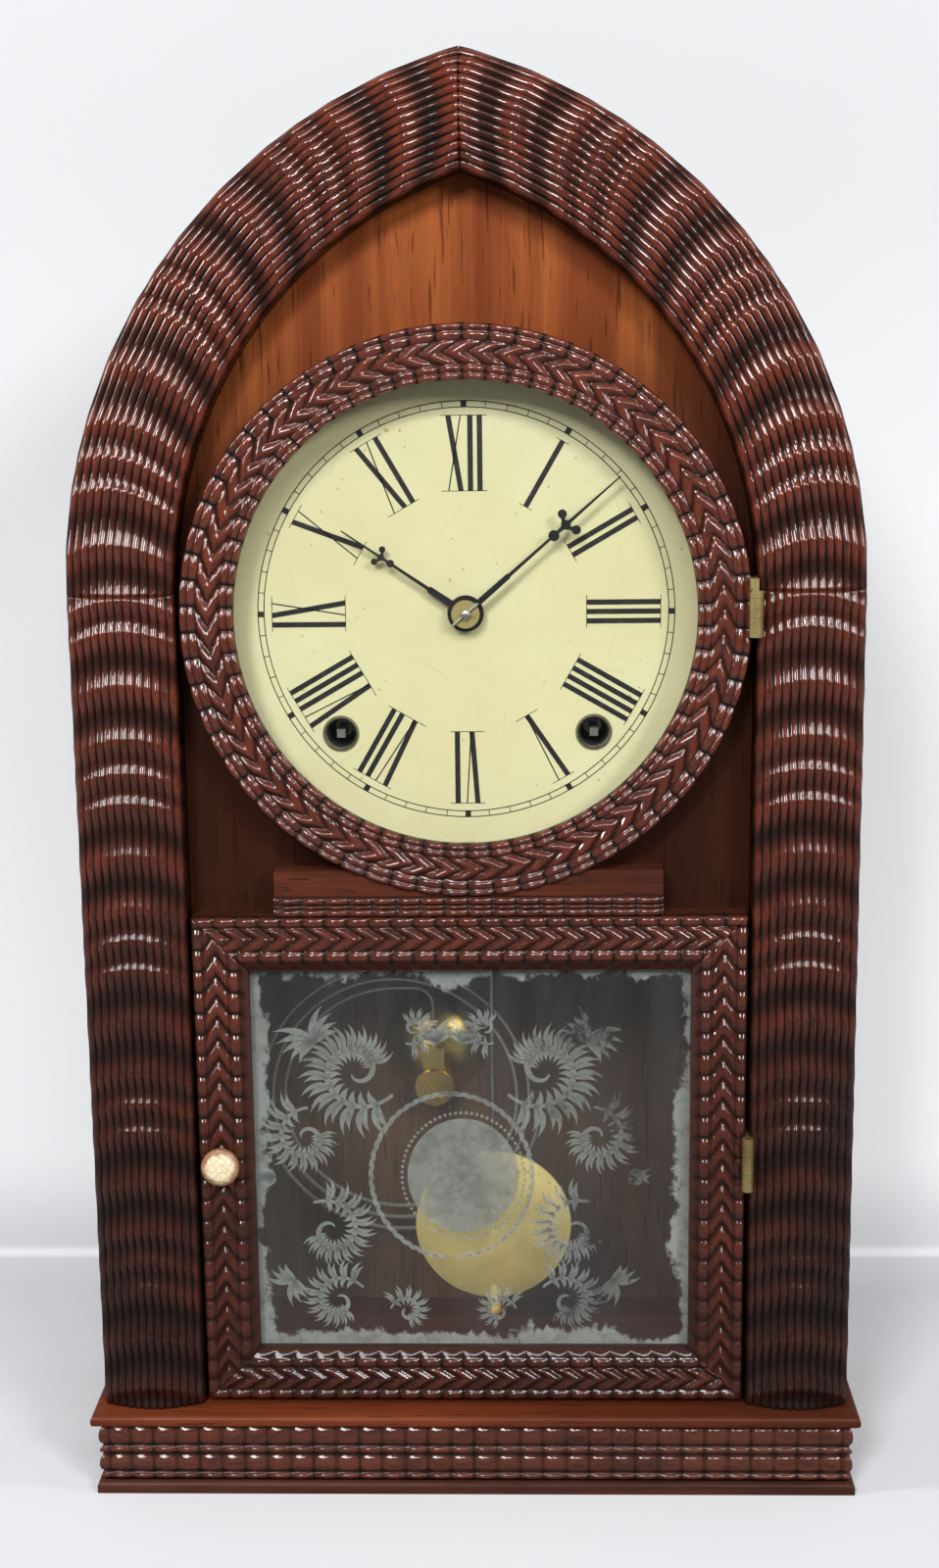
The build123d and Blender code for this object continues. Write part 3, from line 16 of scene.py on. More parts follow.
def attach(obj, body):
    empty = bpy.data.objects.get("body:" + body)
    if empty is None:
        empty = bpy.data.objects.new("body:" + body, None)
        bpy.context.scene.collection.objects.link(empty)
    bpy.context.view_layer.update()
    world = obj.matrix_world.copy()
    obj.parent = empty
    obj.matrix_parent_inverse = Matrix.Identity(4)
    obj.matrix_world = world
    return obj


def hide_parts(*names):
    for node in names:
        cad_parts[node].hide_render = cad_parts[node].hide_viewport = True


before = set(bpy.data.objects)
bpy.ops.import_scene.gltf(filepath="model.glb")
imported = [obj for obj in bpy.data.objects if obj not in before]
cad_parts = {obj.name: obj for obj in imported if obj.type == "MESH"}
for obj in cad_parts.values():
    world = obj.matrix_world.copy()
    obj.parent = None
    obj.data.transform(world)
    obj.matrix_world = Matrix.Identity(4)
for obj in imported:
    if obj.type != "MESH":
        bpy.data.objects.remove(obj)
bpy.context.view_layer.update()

# %% [markdown]
# ## Sizes
# Everything below is written in millimetres, as a case maker would measure it, and
# turned into metres when a mesh is made. Low y is towards the viewer.

# %% Sizes of the case and dial
MM = 0.001

column_inner, column_outer = 94.5, 130.0
column_edge_y, panel_front_y = -41.8, -30.3
bulge = 4.6
reed_count = 13
base_top_z, spring_z, top_z = 29.2, 313.8, 482.6
arch_offset = 44.6

door_front_y, door_half_width = -41.5, 93.2
moulding_back_y = -38.5
glass_back_y = -36.5
frame_bottom_z, frame_top_z = 31.3, 205.4
frame_width = 18.5
opening_half_width = door_half_width - frame_width
opening_low_z, opening_high_z = frame_bottom_z + frame_width, frame_top_z - frame_width

ring_z, ring_inner, ring_outer = 305.8, 75.6, 93.3
dial_y = -28.0
relief_height = 0.9
knob_x, knob_z, knob_radius = -85.2, 119.6, 6.75

# The low and high end of each hinge's knuckles, and how far right the moulding may reach there.
upper_hinge, lower_hinge = (297.5, 319.0, 90.9), (108.3, 129.8, 91.3)

print("case", 2 * column_outer, "wide and", top_z, "high")

# %% [markdown]
# ## Numbers in a finish
# A finish is a network of shader nodes. Numbers in it are wrapped so that ordinary
# sums build the network: `2 * grain + 0.1` makes the two maths nodes it needs.

# %% Numbers that build nodes
def sum_of(operation):
    """A method that adds the node for one kind of sum."""
    def method(self, *others):
        made = self.finish.tree.nodes.new("ShaderNodeMath")
        made.operation = operation
        for socket, value in zip(made.inputs, (self, *others)):
            self.finish.feed(socket, value)
        return Number(self.finish, made.outputs[0])
    return method


class Number:
    """A number coming out of a node, which can be used in sums."""

    def __init__(self, finish, socket):
        self.finish, self.socket = finish, socket

    __add__ = __radd__ = sum_of("ADD")
    __sub__ = sum_of("SUBTRACT")
    __mul__ = __rmul__ = sum_of("MULTIPLY")
    __truediv__ = sum_of("DIVIDE")
    __pow__ = sum_of("POWER")
    __abs__ = sum_of("ABSOLUTE")
    lesser = sum_of("MINIMUM")

    def __rsub__(self, other):
        return self * -1.0 + other

    def above(self, low, high):
        """0 below low, 1 above high, and a soft step between them."""
        made = self.finish.node("ShaderNodeMapRange", {"interpolation_type": "SMOOTHSTEP"},
                                {"Value": self, "From Min": low, "From Max": high})
        return Number(self.finish, made.outputs["Result"])


print("sums that build nodes: + - * / ** abs, lesser and above")

# %% [markdown]
# ## Laying out a finish
# A finish adds one node at a time. Colours are written as a painter would pick them off
# a screen, three numbers from 0 to 255, and turned to light values where they are used.

# %% Colours and finishes
def paint(red, green, blue):
    """A screen colour, 0 to 255, as the light value that the shader wants."""
    def light(level):
        share = level / 255
        return share / 12.92 if share <= 0.04045 else ((share + 0.055) / 1.055) ** 2.4
    return light(red), light(green), light(blue), 1.0


class Finish:
    """A material while its nodes are being laid out."""

    def __init__(self, name):
        self.material = bpy.data.materials.new(name)
        self.material.use_nodes = True
        self.tree = self.material.node_tree
        self.tree.nodes.clear()
        self.place = self.node("ShaderNodeTexCoord").outputs["Object"]

    def feed(self, socket, value):
        source = getattr(value, "socket", value)
        if isinstance(source, bpy.types.NodeSocket):
            self.tree.links.new(source, socket)
        else:
            socket.default_value = source

    def node(self, kind, settings=None, inputs=None):
        """Adds a node: its options are set first, then its inputs get values or links."""
        made = self.tree.nodes.new(kind)
        for option, value in (settings or {}).items():
            setattr(made, option, value)
        for name, value in (inputs or {}).items():
            self.feed(made.inputs[name], value)
        return made

    def stretched(self, along=(1, 1, 1)):
        """The place on the object, squeezed or stretched along each axis."""
        return self.node("ShaderNodeMapping", {"vector_type": "POINT"},
                         {"Vector": self.place, "Scale": along}).outputs["Vector"]

    def cloud(self, scale, along=(1, 1, 1), detail=3.0, rough=0.55, bend=0.0):
        """Soft random patches, 0 to 1, of about 1 / scale metres."""
        made = self.node("ShaderNodeTexNoise", None,
                         {"Vector": self.stretched(along), "Scale": scale, "Detail": detail,
                          "Roughness": rough, "Distortion": bend})
        return Number(self, made.outputs["Fac"])

    def cracks(self, scale, along=(1, 1, 1)):
        """The distance to the nearest edge in a net of random cells."""
        made = self.node("ShaderNodeTexVoronoi", {"feature": "DISTANCE_TO_EDGE"},
                         {"Vector": self.stretched(along), "Scale": scale})
        return Number(self, made.outputs["Distance"])

    def coordinate(self, axis):
        split = self.node("ShaderNodeSeparateXYZ", None, {"Vector": self.place})
        return Number(self, split.outputs[axis])

    def blend(self, share, first, second):
        """A colour between two others, each a screen colour or the colour from another node."""
        made = self.node("ShaderNodeMix", {"data_type": "RGBA"})
        self.feed(made.inputs[0], share)
        for index, colour in ((6, first), (7, second)):
            self.feed(made.inputs[index], paint(*colour) if isinstance(colour, tuple) else colour)
        return made.outputs[2]

    def bumped(self, height, distance):
        made = self.node("ShaderNodeBump", None, {"Height": height, "Distance": distance})
        return made.outputs["Normal"]

    def surface(self, colour, inputs):
        shader = self.node("ShaderNodeBsdfPrincipled", None, {"Base Color": colour, **inputs})
        return shader.outputs["BSDF"]

    def layered(self, share, below, above):
        """A share of one shader laid over another."""
        made = self.node("ShaderNodeMixShader", None, {"Fac": share})
        self.feed(made.inputs[1], below)
        self.feed(made.inputs[2], above)
        return made.outputs[0]

    def done(self, shader):
        self.node("ShaderNodeOutputMaterial", None, {"Surface": shader})
        return self.material

    def solid(self, colour, rough, relief, depth, others=None):
        """The whole material of a solid thing, with fine relief of a depth in metres."""
        inputs = {"Roughness": rough, "Normal": self.bumped(relief, depth), **(others or {})}
        return self.done(self.surface(colour, inputs))


print("screen white in light values:", paint(255, 255, 255))

# %% [markdown]
# ## Ripple-cut wood
# The columns, arch, ring and door mouldings were pressed or planed on a ripple machine
# and shellacked. Dirt and old shellac lie black in the grooves, and hands have polished
# the crests. Each cut mesh carries a number, 1 on a crest and 0 in a groove, which
# steers the colour here. On the columns and arch the number also drops in the valleys
# of the long waves, so those valleys carry a painted shade.

# %% Finish of the ripple-cut wood
def ripple_wood(name, crest, groove, grain_along, foot_shade_strength):
    """Wood coloured by the crest number, with a painted shade that darkens it more towards the foot of the
    case.
    """
    f = Finish(name)
    height = Number(f, f.node("ShaderNodeAttribute", {"attribute_name": "crest"}).outputs["Fac"])
    rise = f.coordinate("Z").above(0.02, 0.4)
    patches = f.cloud(26, detail=2.0)
    grain = f.cloud(420, grain_along, detail=4.0, rough=0.65)
    fine = f.cloud(1500, grain_along, detail=2.0)
    crazing = f.cracks(950)
    # Where the crest number is low the colour goes to the groove colour: dirt in the reed grooves, and a
    # painted shade in the valleys of the long waves.
    worn = (height + 0.25 * (patches - 0.5) + 0.3 * (grain - 0.5)).above(0.08, 0.66)
    # Painted shade: the wood is darkened towards the foot of the case, in uneven patches, as much as the
    # given strength allows.
    painted_foot_shade = foot_shade_strength * (0.95 - 0.7 * rise) + 0.7 * (patches - 0.5)
    body = f.blend(painted_foot_shade, crest, (34, 15, 11))
    streaked = f.blend(0.6 * grain.above(0.42, 0.7), body, groove)
    colour = f.blend(worn, groove, streaked)
    rough = 0.2 + 0.2 * grain + 0.3 * (1 - worn)
    bump = 0.6 * crazing.above(0.0, 0.09) + 0.5 * fine + 0.6 * grain
    polish = 0.1 + 0.9 * worn * (0.5 + 0.5 * rise)
    return f.solid(colour, rough, bump, 0.0002, {"Coat Weight": polish, "Coat IOR": 1.63,
                                                 "Coat Roughness": 0.1, "Specular IOR Level": 0.1})


# The last number of each is the strength of the painted shade towards the foot.
dark_ripple = ripple_wood("ripple wood", (126, 52, 27), (18, 11, 9), (1, 1, 0.12), 1.0)
ring_ripple = ripple_wood("ripple wood of the ring", (122, 54, 33), (27, 18, 14), (0.5, 1, 0.5), 0.8)
base_ripple = ripple_wood("ripple wood of the base", (108, 53, 37), (22, 14, 11), (0.12, 1, 1), 0.35)
print("ripple finishes:", dark_ripple.name, ring_ripple.name, base_ripple.name)

# %% [markdown]
# ## Plain and figured wood
# The upper board is a sawn veneer with a warm orange figure and short dark pores that
# run upwards. The carcass behind is the same wood without polish. Grain comes from
# noise pulled out along one axis, and the pores are a finer noise cut off sharply.

# %% Finishes of the flat boards
def board(name, light, dark, along, shine, low=None):
    """Flat wood with its grain drawn out along one axis. Low is the colour of a painted shade
    that darkens it from just above the dial ring downwards."""
    f = Finish(name)
    figure = f.cloud(34, along, detail=6.0, rough=0.65, bend=0.9)
    lines = f.cloud(210, along, detail=4.0, rough=0.7)
    pores = f.cloud(900, along, detail=2.0).above(0.6, 0.7)
    soil = f.cloud(12, detail=3.0)
    colour = f.blend(figure.above(0.3, 0.7), light, dark)
    colour = f.blend(0.5 * lines.above(0.4, 0.7), colour, dark)
    colour = f.blend(0.6 * pores, colour, (30, 14, 8))
    colour = f.blend(0.35 * soil.above(0.5, 0.75), colour, dark)
    if low:
        # Painted shade: below about the top of the dial ring the board is darkened to the low colour.
        shade = 1 - (f.coordinate("Z") + 0.05 * (soil - 0.5)).above(0.32, 0.43)
        colour = f.blend(0.93 * shade, colour, low)
    rough = shine + 0.2 * lines + 0.15 * soil
    bump = 0.7 * (1 - pores) + 0.4 * lines
    return f.solid(colour, rough, bump, 0.0001, {"Coat Weight": 0.1 * (1 - pores), "Coat Roughness": 0.2,
                                                 "Specular IOR Level": 0.1})


upright, level = (1, 1, 0.05), (0.05, 1, 1)
# The veneer's low colour is a painted shade on its lower part.
veneer = board("figured veneer", (178, 99, 48), (116, 53, 23), upright, 0.3, low=(30, 11, 6))
ledge_wood = board("ledge veneer", (118, 55, 28), (68, 30, 17), level, 0.28)
plinth_wood = board("plinth wood", (82, 46, 34), (46, 24, 18), level, 0.36)
side_wood = board("side veneer", (84, 42, 28), (52, 25, 17), upright, 0.34)
carcass = board("unpolished wood", (96, 66, 44), (66, 42, 27), upright, 0.6)
backing = board("back board", (112, 84, 58), (80, 57, 38), upright, 0.65)
lip_wood = board("door wood", (104, 51, 33), (54, 27, 19), (0.1, 1, 1), 0.3)
print("board finishes:", veneer.name, ledge_wood.name, plinth_wood.name)

# %% [markdown]
# ## Metal
# Clock brass is rolled sheet that has dulled unevenly, so its colour and polish vary in
# cloudy patches with fine scratches. The bob and the gong's dome were lacquered and
# still shine. Steel shows grey with small brown spots.

# %% Finishes of brass and steel
def metal(name, bright, dull, shine, spots, brushed=(1, 1, 1), tarnish=0.5, coat=0.0):
    """Metal from its bright colour to its dulled one. Brushed draws the scratches out."""
    f = Finish(name)
    patches = f.cloud(45, detail=5.0, rough=0.65)
    scratches = f.cloud(700, brushed, detail=3.0, rough=0.7)
    dots = f.cloud(310, detail=2.0).above(0.66, 0.74)
    colour = f.blend(tarnish * patches.above(0.4, 0.75), bright, dull)
    colour = f.blend(spots * dots, colour, (62, 40, 22))
    rough = shine + 0.22 * patches + 0.14 * scratches + 0.3 * dots * spots
    shares = {"Metallic": 1.0 - 0.6 * dots * spots, "Coat Weight": coat}
    return f.solid(colour, rough, scratches + 0.3 * patches, 0.00004, shares)


hinge_brass = metal("old hinge brass", (178, 160, 108), (108, 92, 58), 0.34, 0.8, tarnish=0.8)
rim_brass = metal("dull rim brass", (150, 148, 126), (84, 80, 62), 0.3, 0.4)
hand_brass = metal("brass of the hand washer", (196, 180, 122), (128, 114, 74), 0.34, 0.3)
plate_brass = metal("rolled plate brass", (206, 170, 96), (150, 118, 62), 0.2, 0.4, (1, 1, 0.04))
wheel_brass = metal("cut wheel brass", (212, 176, 100), (160, 126, 66), 0.22, 0.3)
bob_brass = metal("lacquered bob brass", (252, 236, 166), (230, 208, 130), 0.55, 0.3, (1, 1, 0.08), coat=0.2)
dome_brass = metal("dome brass", (240, 212, 124), (204, 176, 96), 0.14, 0.2)
steel = metal("drawn steel", (176, 174, 168), (120, 112, 102), 0.24, 0.6)
gong_steel = metal("gong steel", (222, 221, 214), (168, 164, 154), 0.36, 0.3)
spring_steel = metal("blued spring steel", (74, 78, 92), (52, 46, 44), 0.2, 0.5)
print("metal finishes:", hinge_brass.name, steel.name, gong_steel.name)

# %% [markdown]
# ## Black japan
# The hands carry baked black lacquer, and the same black paints the shade in the winding
# holes. Handling has rubbed it grey and duller in places.

# %% Finish of the hands and of the painted shade in the winding holes
def japan():
    f = Finish("black japan")
    rubbed = f.cloud(240, detail=3.0)
    colour = f.blend(rubbed.above(0.5, 0.8), (12, 12, 14), (34, 30, 28))
    return f.solid(colour, 0.3 + 0.3 * rubbed, f.cloud(1800), 0.00003)


black_japan = japan()
print("lacquer:", black_japan.name)

# %% [markdown]
# ## Dial paint and ink
# The dial is a zinc pan painted cream. The paint has yellowed unevenly, with faint
# hairlines and a few foxed specks. Numerals are printed in black that has thinned in
# places. The door's knob is turned bone, stained brown round its rim.

# %% Finishes of the dial and knob
def dial_paint():
    f = Finish("cream dial paint")
    yellowing = f.cloud(18, detail=4.0)
    specks = f.cloud(330, detail=2.0).above(0.72, 0.76)
    hairs = 1 - f.cracks(55).above(0.0, 0.01)
    colour = f.blend(yellowing.above(0.3, 0.75), (226, 222, 178), (219, 212, 163))
    colour = f.blend(0.55 * specks, colour, (140, 104, 62))
    colour = f.blend(0.12 * hairs, colour, (150, 130, 90))
    return f.solid(colour, 0.42 + 0.16 * yellowing, f.cloud(520) - 0.4 * hairs, 0.00005)


def printed_black():
    f = Finish("printed black")
    thin = f.cloud(380, detail=4.0)
    colour = f.blend(0.7 * thin.above(0.55, 0.8), (24, 24, 26), (74, 72, 60))
    return f.solid(colour, 0.4 + 0.2 * thin, thin, 0.00002)


def bone():
    """A turned bone knob: cream face with a brown stained rim and fine cracks."""
    f = Finish("stained bone")
    across = (f.coordinate("X") - knob_x * MM) / (knob_radius * MM)
    up = (f.coordinate("Z") - knob_z * MM) / (knob_radius * MM)
    out = (across * across + up * up) ** 0.5
    blotches = f.cloud(330, detail=5.0, rough=0.7)
    rim = (out + 0.7 * (blotches - 0.5)).above(0.55, 0.86)
    cracks = 1 - f.cracks(420).above(0.0, 0.05)
    colour = f.blend(blotches.above(0.3, 0.7), (240, 228, 196), (226, 204, 158))
    colour = f.blend(0.9 * rim, colour, (128, 70, 30))
    colour = f.blend(0.6 * cracks, colour, (132, 84, 44))
    return f.solid(colour, 0.28 + 0.25 * blotches, blotches - 0.5 * cracks, 0.00008)


cream, ink, knob_bone = dial_paint(), printed_black(), bone()
print("dial and knob finishes:", cream.name, ink.name, knob_bone.name)

# %% [markdown]
# ## Glass
# Window glass mostly lets light through and mirrors a little, more where it is seen at
# a slant. A mix of a see-through and a mirror shader does that without noise.
# The lower pane also carries a grey haze, and silvering that has flaked
# off everywhere but near the edges.

# %% Finishes of the panes
border_width = 9.0


def pane(name, haze_colour, haze):
    """Glass with a haze over it, wiped unevenly up and down."""
    f = Finish(name)
    film = f.cloud(16, detail=4.0)
    clear = f.node("ShaderNodeBsdfTransparent", None, {"Color": (0.99, 0.995, 0.99, 1)}).outputs[0]
    mirror = f.surface((1, 1, 1, 1), {"Metallic": 1.0, "Roughness": 0.04 + 0.06 * film,
                                      "Normal": f.bumped(f.cloud(9), 0.0004)})
    veil = f.surface(f.blend(film, haze_colour, (110, 108, 102)), {"Roughness": 0.5 + 0.3 * film})
    facing = f.node("ShaderNodeFresnel", None, {"IOR": 1.45}).outputs[0]
    wiped = f.cloud(60, (1, 1, 0.1), detail=4.0, rough=0.65).above(0.35, 0.7)
    dusty = f.layered(haze * (0.3 + 0.7 * film + 0.6 * wiped), clear, veil)
    return f.done(f.layered(0.25 * Number(f, facing), dusty, mirror))


def silver_film(name, edge, strength):
    """Silver-grey film on the back of the pane. With edge it is left only round the
    border, and without it thins towards the right."""
    f = Finish(name)
    flakes = f.cloud(150, detail=6.0, rough=0.75)
    broad = f.cloud(28, detail=4.0, rough=0.6)
    if edge:
        x, z = f.coordinate("X"), f.coordinate("Z")
        from_side, from_bottom = opening_half_width * MM - abs(x), z - opening_low_z * MM
        nearest = from_side.lesser(from_bottom).lesser(opening_high_z * MM - z)
        streaks = f.cloud(70, (1, 1, 0.25), detail=5.0, rough=0.7)
        ragged = 2.6 * (broad - 0.5) + 1.2 * (flakes - 0.5) + 1.6 * (streaks - 0.5)
        reach = nearest / (border_width * MM) + ragged
        cover = 1 - reach.above(0.3, 0.55)
    else:
        from_left = (f.coordinate("X") + opening_half_width * MM) / (2 * opening_half_width * MM)
        cover = (flakes + 0.9 * broad - 0.45 * from_left).above(0.42, 0.7)
    colour = f.blend(flakes.above(0.4, 0.7), (196, 202, 196), (150, 152, 146))
    return f.solid(colour, 0.45 + 0.3 * flakes, flakes, 0.00005, {"Alpha": strength * cover})


dial_pane = pane("clear pane", (90, 88, 84), 0.004)
tablet_pane = pane("hazed pane", (106, 110, 116), 0.105)
border_film = silver_film("worn silvering", True, 0.6)
scroll_film = silver_film("frosted scrolls", False, 0.34)
medallion_film = silver_film("frosted medallion", False, 0.34)
print("pane finishes:", dial_pane.name, tablet_pane.name, border_film.name)

# %% [markdown]
# ## Making meshes
# A moulding is a closed cross-section carried along its length, with neighbouring
# sections joined by four-sided faces. A numeral is a flat outline given a thickness.

# %% Ways to make a piece
made_pieces = []


def piece(name, points, faces, finish, body, crests=None, smooth=True):
    """A mesh from points in millimetres, with a finish, hung on a moving body."""
    mesh = bpy.data.meshes.new(name)
    mesh.from_pydata([(x * MM, y * MM, z * MM) for x, y, z in points], [], faces)
    if crests is not None:
        mesh.attributes.new("crest", "FLOAT", "POINT").data.foreach_set("value", crests)
    tidy = bmesh.new()
    tidy.from_mesh(mesh)
    bmesh.ops.recalc_face_normals(tidy, faces=tidy.faces)
    tidy.to_mesh(mesh)
    tidy.free()
    mesh.polygons.foreach_set("use_smooth", [smooth] * len(mesh.polygons))
    mesh.materials.append(finish)
    made = bpy.data.objects.new(name, mesh)
    bpy.context.scene.collection.objects.link(made)
    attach(made, body)
    made_pieces.append(name)
    return made


def skin(rows, closed=True, loop=False):
    """Four-sided faces between neighbouring rows of equal length. Closed joins the two
    ends of each row, and loop joins the last row to the first."""
    count = len(rows[0])
    faces = []
    for r in range(len(rows) if loop else len(rows) - 1):
        here, there = r * count, (r + 1) % len(rows) * count
        for i in range(count if closed else count - 1):
            j = (i + 1) % count
            faces.append((here + i, here + j, there + j, there + i))
    return faces


def capped(rows):
    """The faces of a closed skin: round its rows and over its two ends."""
    count, total = len(rows[0]), len(rows) * len(rows[0])
    return skin(rows) + [tuple(range(count)), tuple(range(total - 1, total - count - 1, -1))]


def length_of_moulding(name, steps, section_at, finish, body, loop=False):
    """A closed cross-section carried along, capped unless it is a loop. Section_at gives
    the points at a share of the way, each with its crest number."""
    sections = [section_at(s / steps) for s in range(steps if loop else steps + 1)]
    faces = skin(sections, loop=True) if loop else capped(sections)
    points, crests = zip(*(pair for section in sections for pair in section))
    return piece(name, points, faces, finish, body, crests)


def flat_sheet(name, solids, finish, body):
    """Many thin capped skins, each a list of rows, in one mesh."""
    points, faces = [], []
    for rows in solids:
        faces += [tuple(len(points) + v for v in face) for face in capped(rows)]
        points += [p for row in rows for p in row]
    return piece(name, points, faces, finish, body, smooth=False)


def cut_sheet(name, outlines, front, back, finish, body):
    """Flat outlines in x and z, each given a front and a back face and an edge."""
    solids = [[[(x, y, z) for x, z in outline] for y in (front, back)] for outline in outlines]
    return flat_sheet(name, solids, finish, body)


def turned_ring(name, centre, profile, steps, finish, body):
    """A closed profile of (radius, y) turned about a line from front to back."""
    def section_at(share):
        a = 2 * pi * share
        return [((centre[0] + r * sin(a), y, centre[1] + r * cos(a)), 0.5) for r, y in profile]

    return length_of_moulding(name, steps, section_at, finish, body, loop=True)


print("faces of a tube with five square sections:", len(skin([[0] * 4] * 5)))

# %% [markdown]
# ## The shape of a ripple
# A ripple cutter leaves round-backed ridges with narrow valleys between. Two curves
# describe most of it: a round back, and the long waves that cross the reeds of the
# columns.

# %% Curves of the ripple cutter
def round_back(share, power=0.5):
    """A ridge seen end on: 0 in each valley, 1 on top. A higher power rounds it off more."""
    t = 2 * (share % 1.0) - 1
    return max(0.0, 1 - t * t) ** power


wave_steps = (10.0, 11.0, 18.0, 18.0)
wave_sum = sum(wave_steps)


def long_wave(length):
    """Height of the waves across the reeds, 0 to 1. They come in a repeating uneven beat,
    and the longer ones are cut deeper."""
    at = length % wave_sum
    for step in wave_steps:
        if at <= step:
            depth = 0.55 + 0.45 * step / max(wave_steps)
            return 1 - depth * sin(pi * at / step) ** 1.1
        at -= step
    return 1.0


print("long waves repeat every", wave_sum, "mm; height at 5 mm is", round(long_wave(5), 2))

# %% [markdown]
# ## Columns and arch
# Each side of the case front is one reeded moulding: thirteen reeds lie side by side on
# a shallow bulge, and waves cross them all. The same cutter made the straight column
# and, on a bent blank, the arch that leans in to the apex.

# %% Cross-section of the column
reed_samples = (0.0, 0.07, 0.2, 0.38, 0.62, 0.8, 0.93)
column_shares = [(r + sample) / reed_count for r in range(reed_count) for sample in reed_samples] + [1.0]
reed_depth, wave_depth = 0.85, 2.2
wave_bow = 5.5
side_wave, side_wave_shift = 0.25, 3.0
edge_round, edge_lip = 0.9, 2.0


def column_section(length, place):
    """One cross-section from the outer side to the inner: placed points with crest numbers.
    The waves bow along the length towards the sides."""
    outer = column_outer - side_wave * (1 - long_wave(length + side_wave_shift))
    lip_y = column_edge_y + edge_lip
    section = [(place(outer, panel_front_y), 0.5), (place(outer, lip_y), 0.6)]
    for share in column_shares:
        arc = 4 * share * (1 - share)
        ripple = long_wave(length + wave_bow * (1 - arc))
        reed = round_back(share * reed_count, 0.85)
        cut = wave_depth * (1 - ripple) * (0.45 + 0.55 * arc) + reed_depth * (1 - reed)
        x = outer - (outer - column_inner) * share
        y = column_edge_y + edge_round * (1 - arc ** 0.5) - bulge * arc ** 0.8 + cut
        # The crest number is low in the reed grooves, where dirt lies, and is lowered in the valleys of the
        # long waves as a painted shade.
        section.append((place(x, y), reed ** 0.6 * (0.28 + 0.72 * ripple)))
    return section + [(place(column_inner, lip_y), 0.35), (place(column_inner, panel_front_y), 0.2)]


print("points in one section:", len(column_section(0, lambda x, y: (x, y, 0))))

# %% [markdown]
# ## Running the section along
# The section is carried up each column and round each arch, with the waves running on
# across the joint between the two.

# %% Columns and arches
column_steps, arch_steps = 252, 216
column_phase, arch_phase = 40.0, 4 * wave_sum + 0.5
joint_gap, apex_gap = 0.15, 0.12


def column(side, share):
    z = base_top_z + (spring_z - joint_gap - base_top_z) * share
    return column_section(z + column_phase, lambda x, y: (side * x, y, z))


def arch(side, share):
    def on_arc(x, y):
        radius = x + arch_offset
        turn = share * acos(arch_offset / radius)
        return side * max(apex_gap, radius * cos(turn) - arch_offset), y, spring_z + radius * sin(turn)

    middle = (column_inner + column_outer) / 2 + arch_offset
    sweep = acos(arch_offset / (column_outer + arch_offset))
    return column_section(middle * sweep * (share - 1) + arch_phase, on_arc)


for side, word in ((1, "_right"), (-1, "_left")):
    for name, steps, shape in (("column", column_steps, column), ("arch", arch_steps, arch)):
        made = length_of_moulding("rippled_" + name + word, steps, lambda share: shape(side, share),
                                  dark_ripple, "case")
        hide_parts(name + word)
print(len(made_pieces), "pieces so far")

# %% [markdown]
# ## Chevron mouldings
# On the dial ring and the door the ridges run as chevrons: a ridge starts as a bead at
# the outer edge, slants forward to a point in the middle band and slants back to the
# inner bead. One profile serves them all, straight or bent.

# %% The chevron profile
bead_breadth, bead_tint_breadth = 1.9, 3.5
chevron_breadth, chevron_tint_breadth = 1.4, 2.2
chevron_lean = 0.82


def ridge_height(turns, breadth):
    """A ridge between two grooves for each whole number of turns, flatter on top with breadth."""
    return 1 - abs(2 * (turns % 1.0) - 1) ** breadth


def chevron_profile(share, along, zones):
    """Height above the strip's floor, 0 to 1, and the crest number, at a share of the
    width and a number of ridges along. A zone is its end, as a share of the width, and
    what is cut there."""
    start = 0.0
    for end, kind in zones:
        if share <= end:
            break
        start = end
    t = (share - start) / (end - start)
    if kind == "lip":
        return 0.42 * (1 - 0.5 * t), 0.5
    if kind == "bead":
        hump = round_back(t)
        height = (0.25 + 0.75 * hump) * (0.35 + 0.65 * ridge_height(along, bead_breadth))
        return height, ridge_height(along, bead_tint_breadth) * (0.3 + 0.7 * hump)
    turns = along - chevron_lean * (1 - abs(2 * t - 1))
    edge = min(1.0, 0.35 + 6 * t, 0.35 + 6 * (1 - t))
    return ((0.1 + 0.9 * ridge_height(turns, chevron_breadth)) * edge,
            ridge_height(turns, chevron_tint_breadth) * edge)


def strip_shares(zones, bead_fine):
    """The shares of the width at which a chevron strip needs points."""
    shares, start = [], 0.0
    for end, kind in zones:
        count = {"lip": 1, "bead": bead_fine, "chevron": 14}[kind]
        shares += [start + (end - start) * i / count for i in range(count)]
        start = end
    return shares + [1.0]


ring_zones = ((0.13, "bead"), (0.3, "bead"), (0.73, "chevron"), (0.87, "bead"), (1.0, "bead"))
frame_zones = ((0.19, "bead"), (0.64, "chevron"), (0.84, "bead"), (1.0, "lip"))
print("points across the ring:", len(strip_shares(ring_zones, 5)))

# %% [markdown]
# ## The dial ring
# The ring is one loop of chevrons with two beads on either side. Its right edge is cut
# back a little beside the hinge knuckles.

# %% The ring moulding
per_ridge = 12
cut_depth = 1.2
ring_ridges, ring_back_inset = 66, 0.6
past_hinge = 1.4


def relief_y(height, depth):
    """Where a surface lies that is cut between a floor and the top of the relief."""
    return door_front_y + depth - (relief_height + depth) * height


def clear_of_hinge(spot, hinge):
    """Keeps a moulding clear of the hinge knuckles on the right."""
    (x, y, z), (low, high, reach) = spot, hinge
    if low < z < high and x > reach:
        return reach + min(x - reach, past_hinge), max(y, door_front_y), z
    return spot


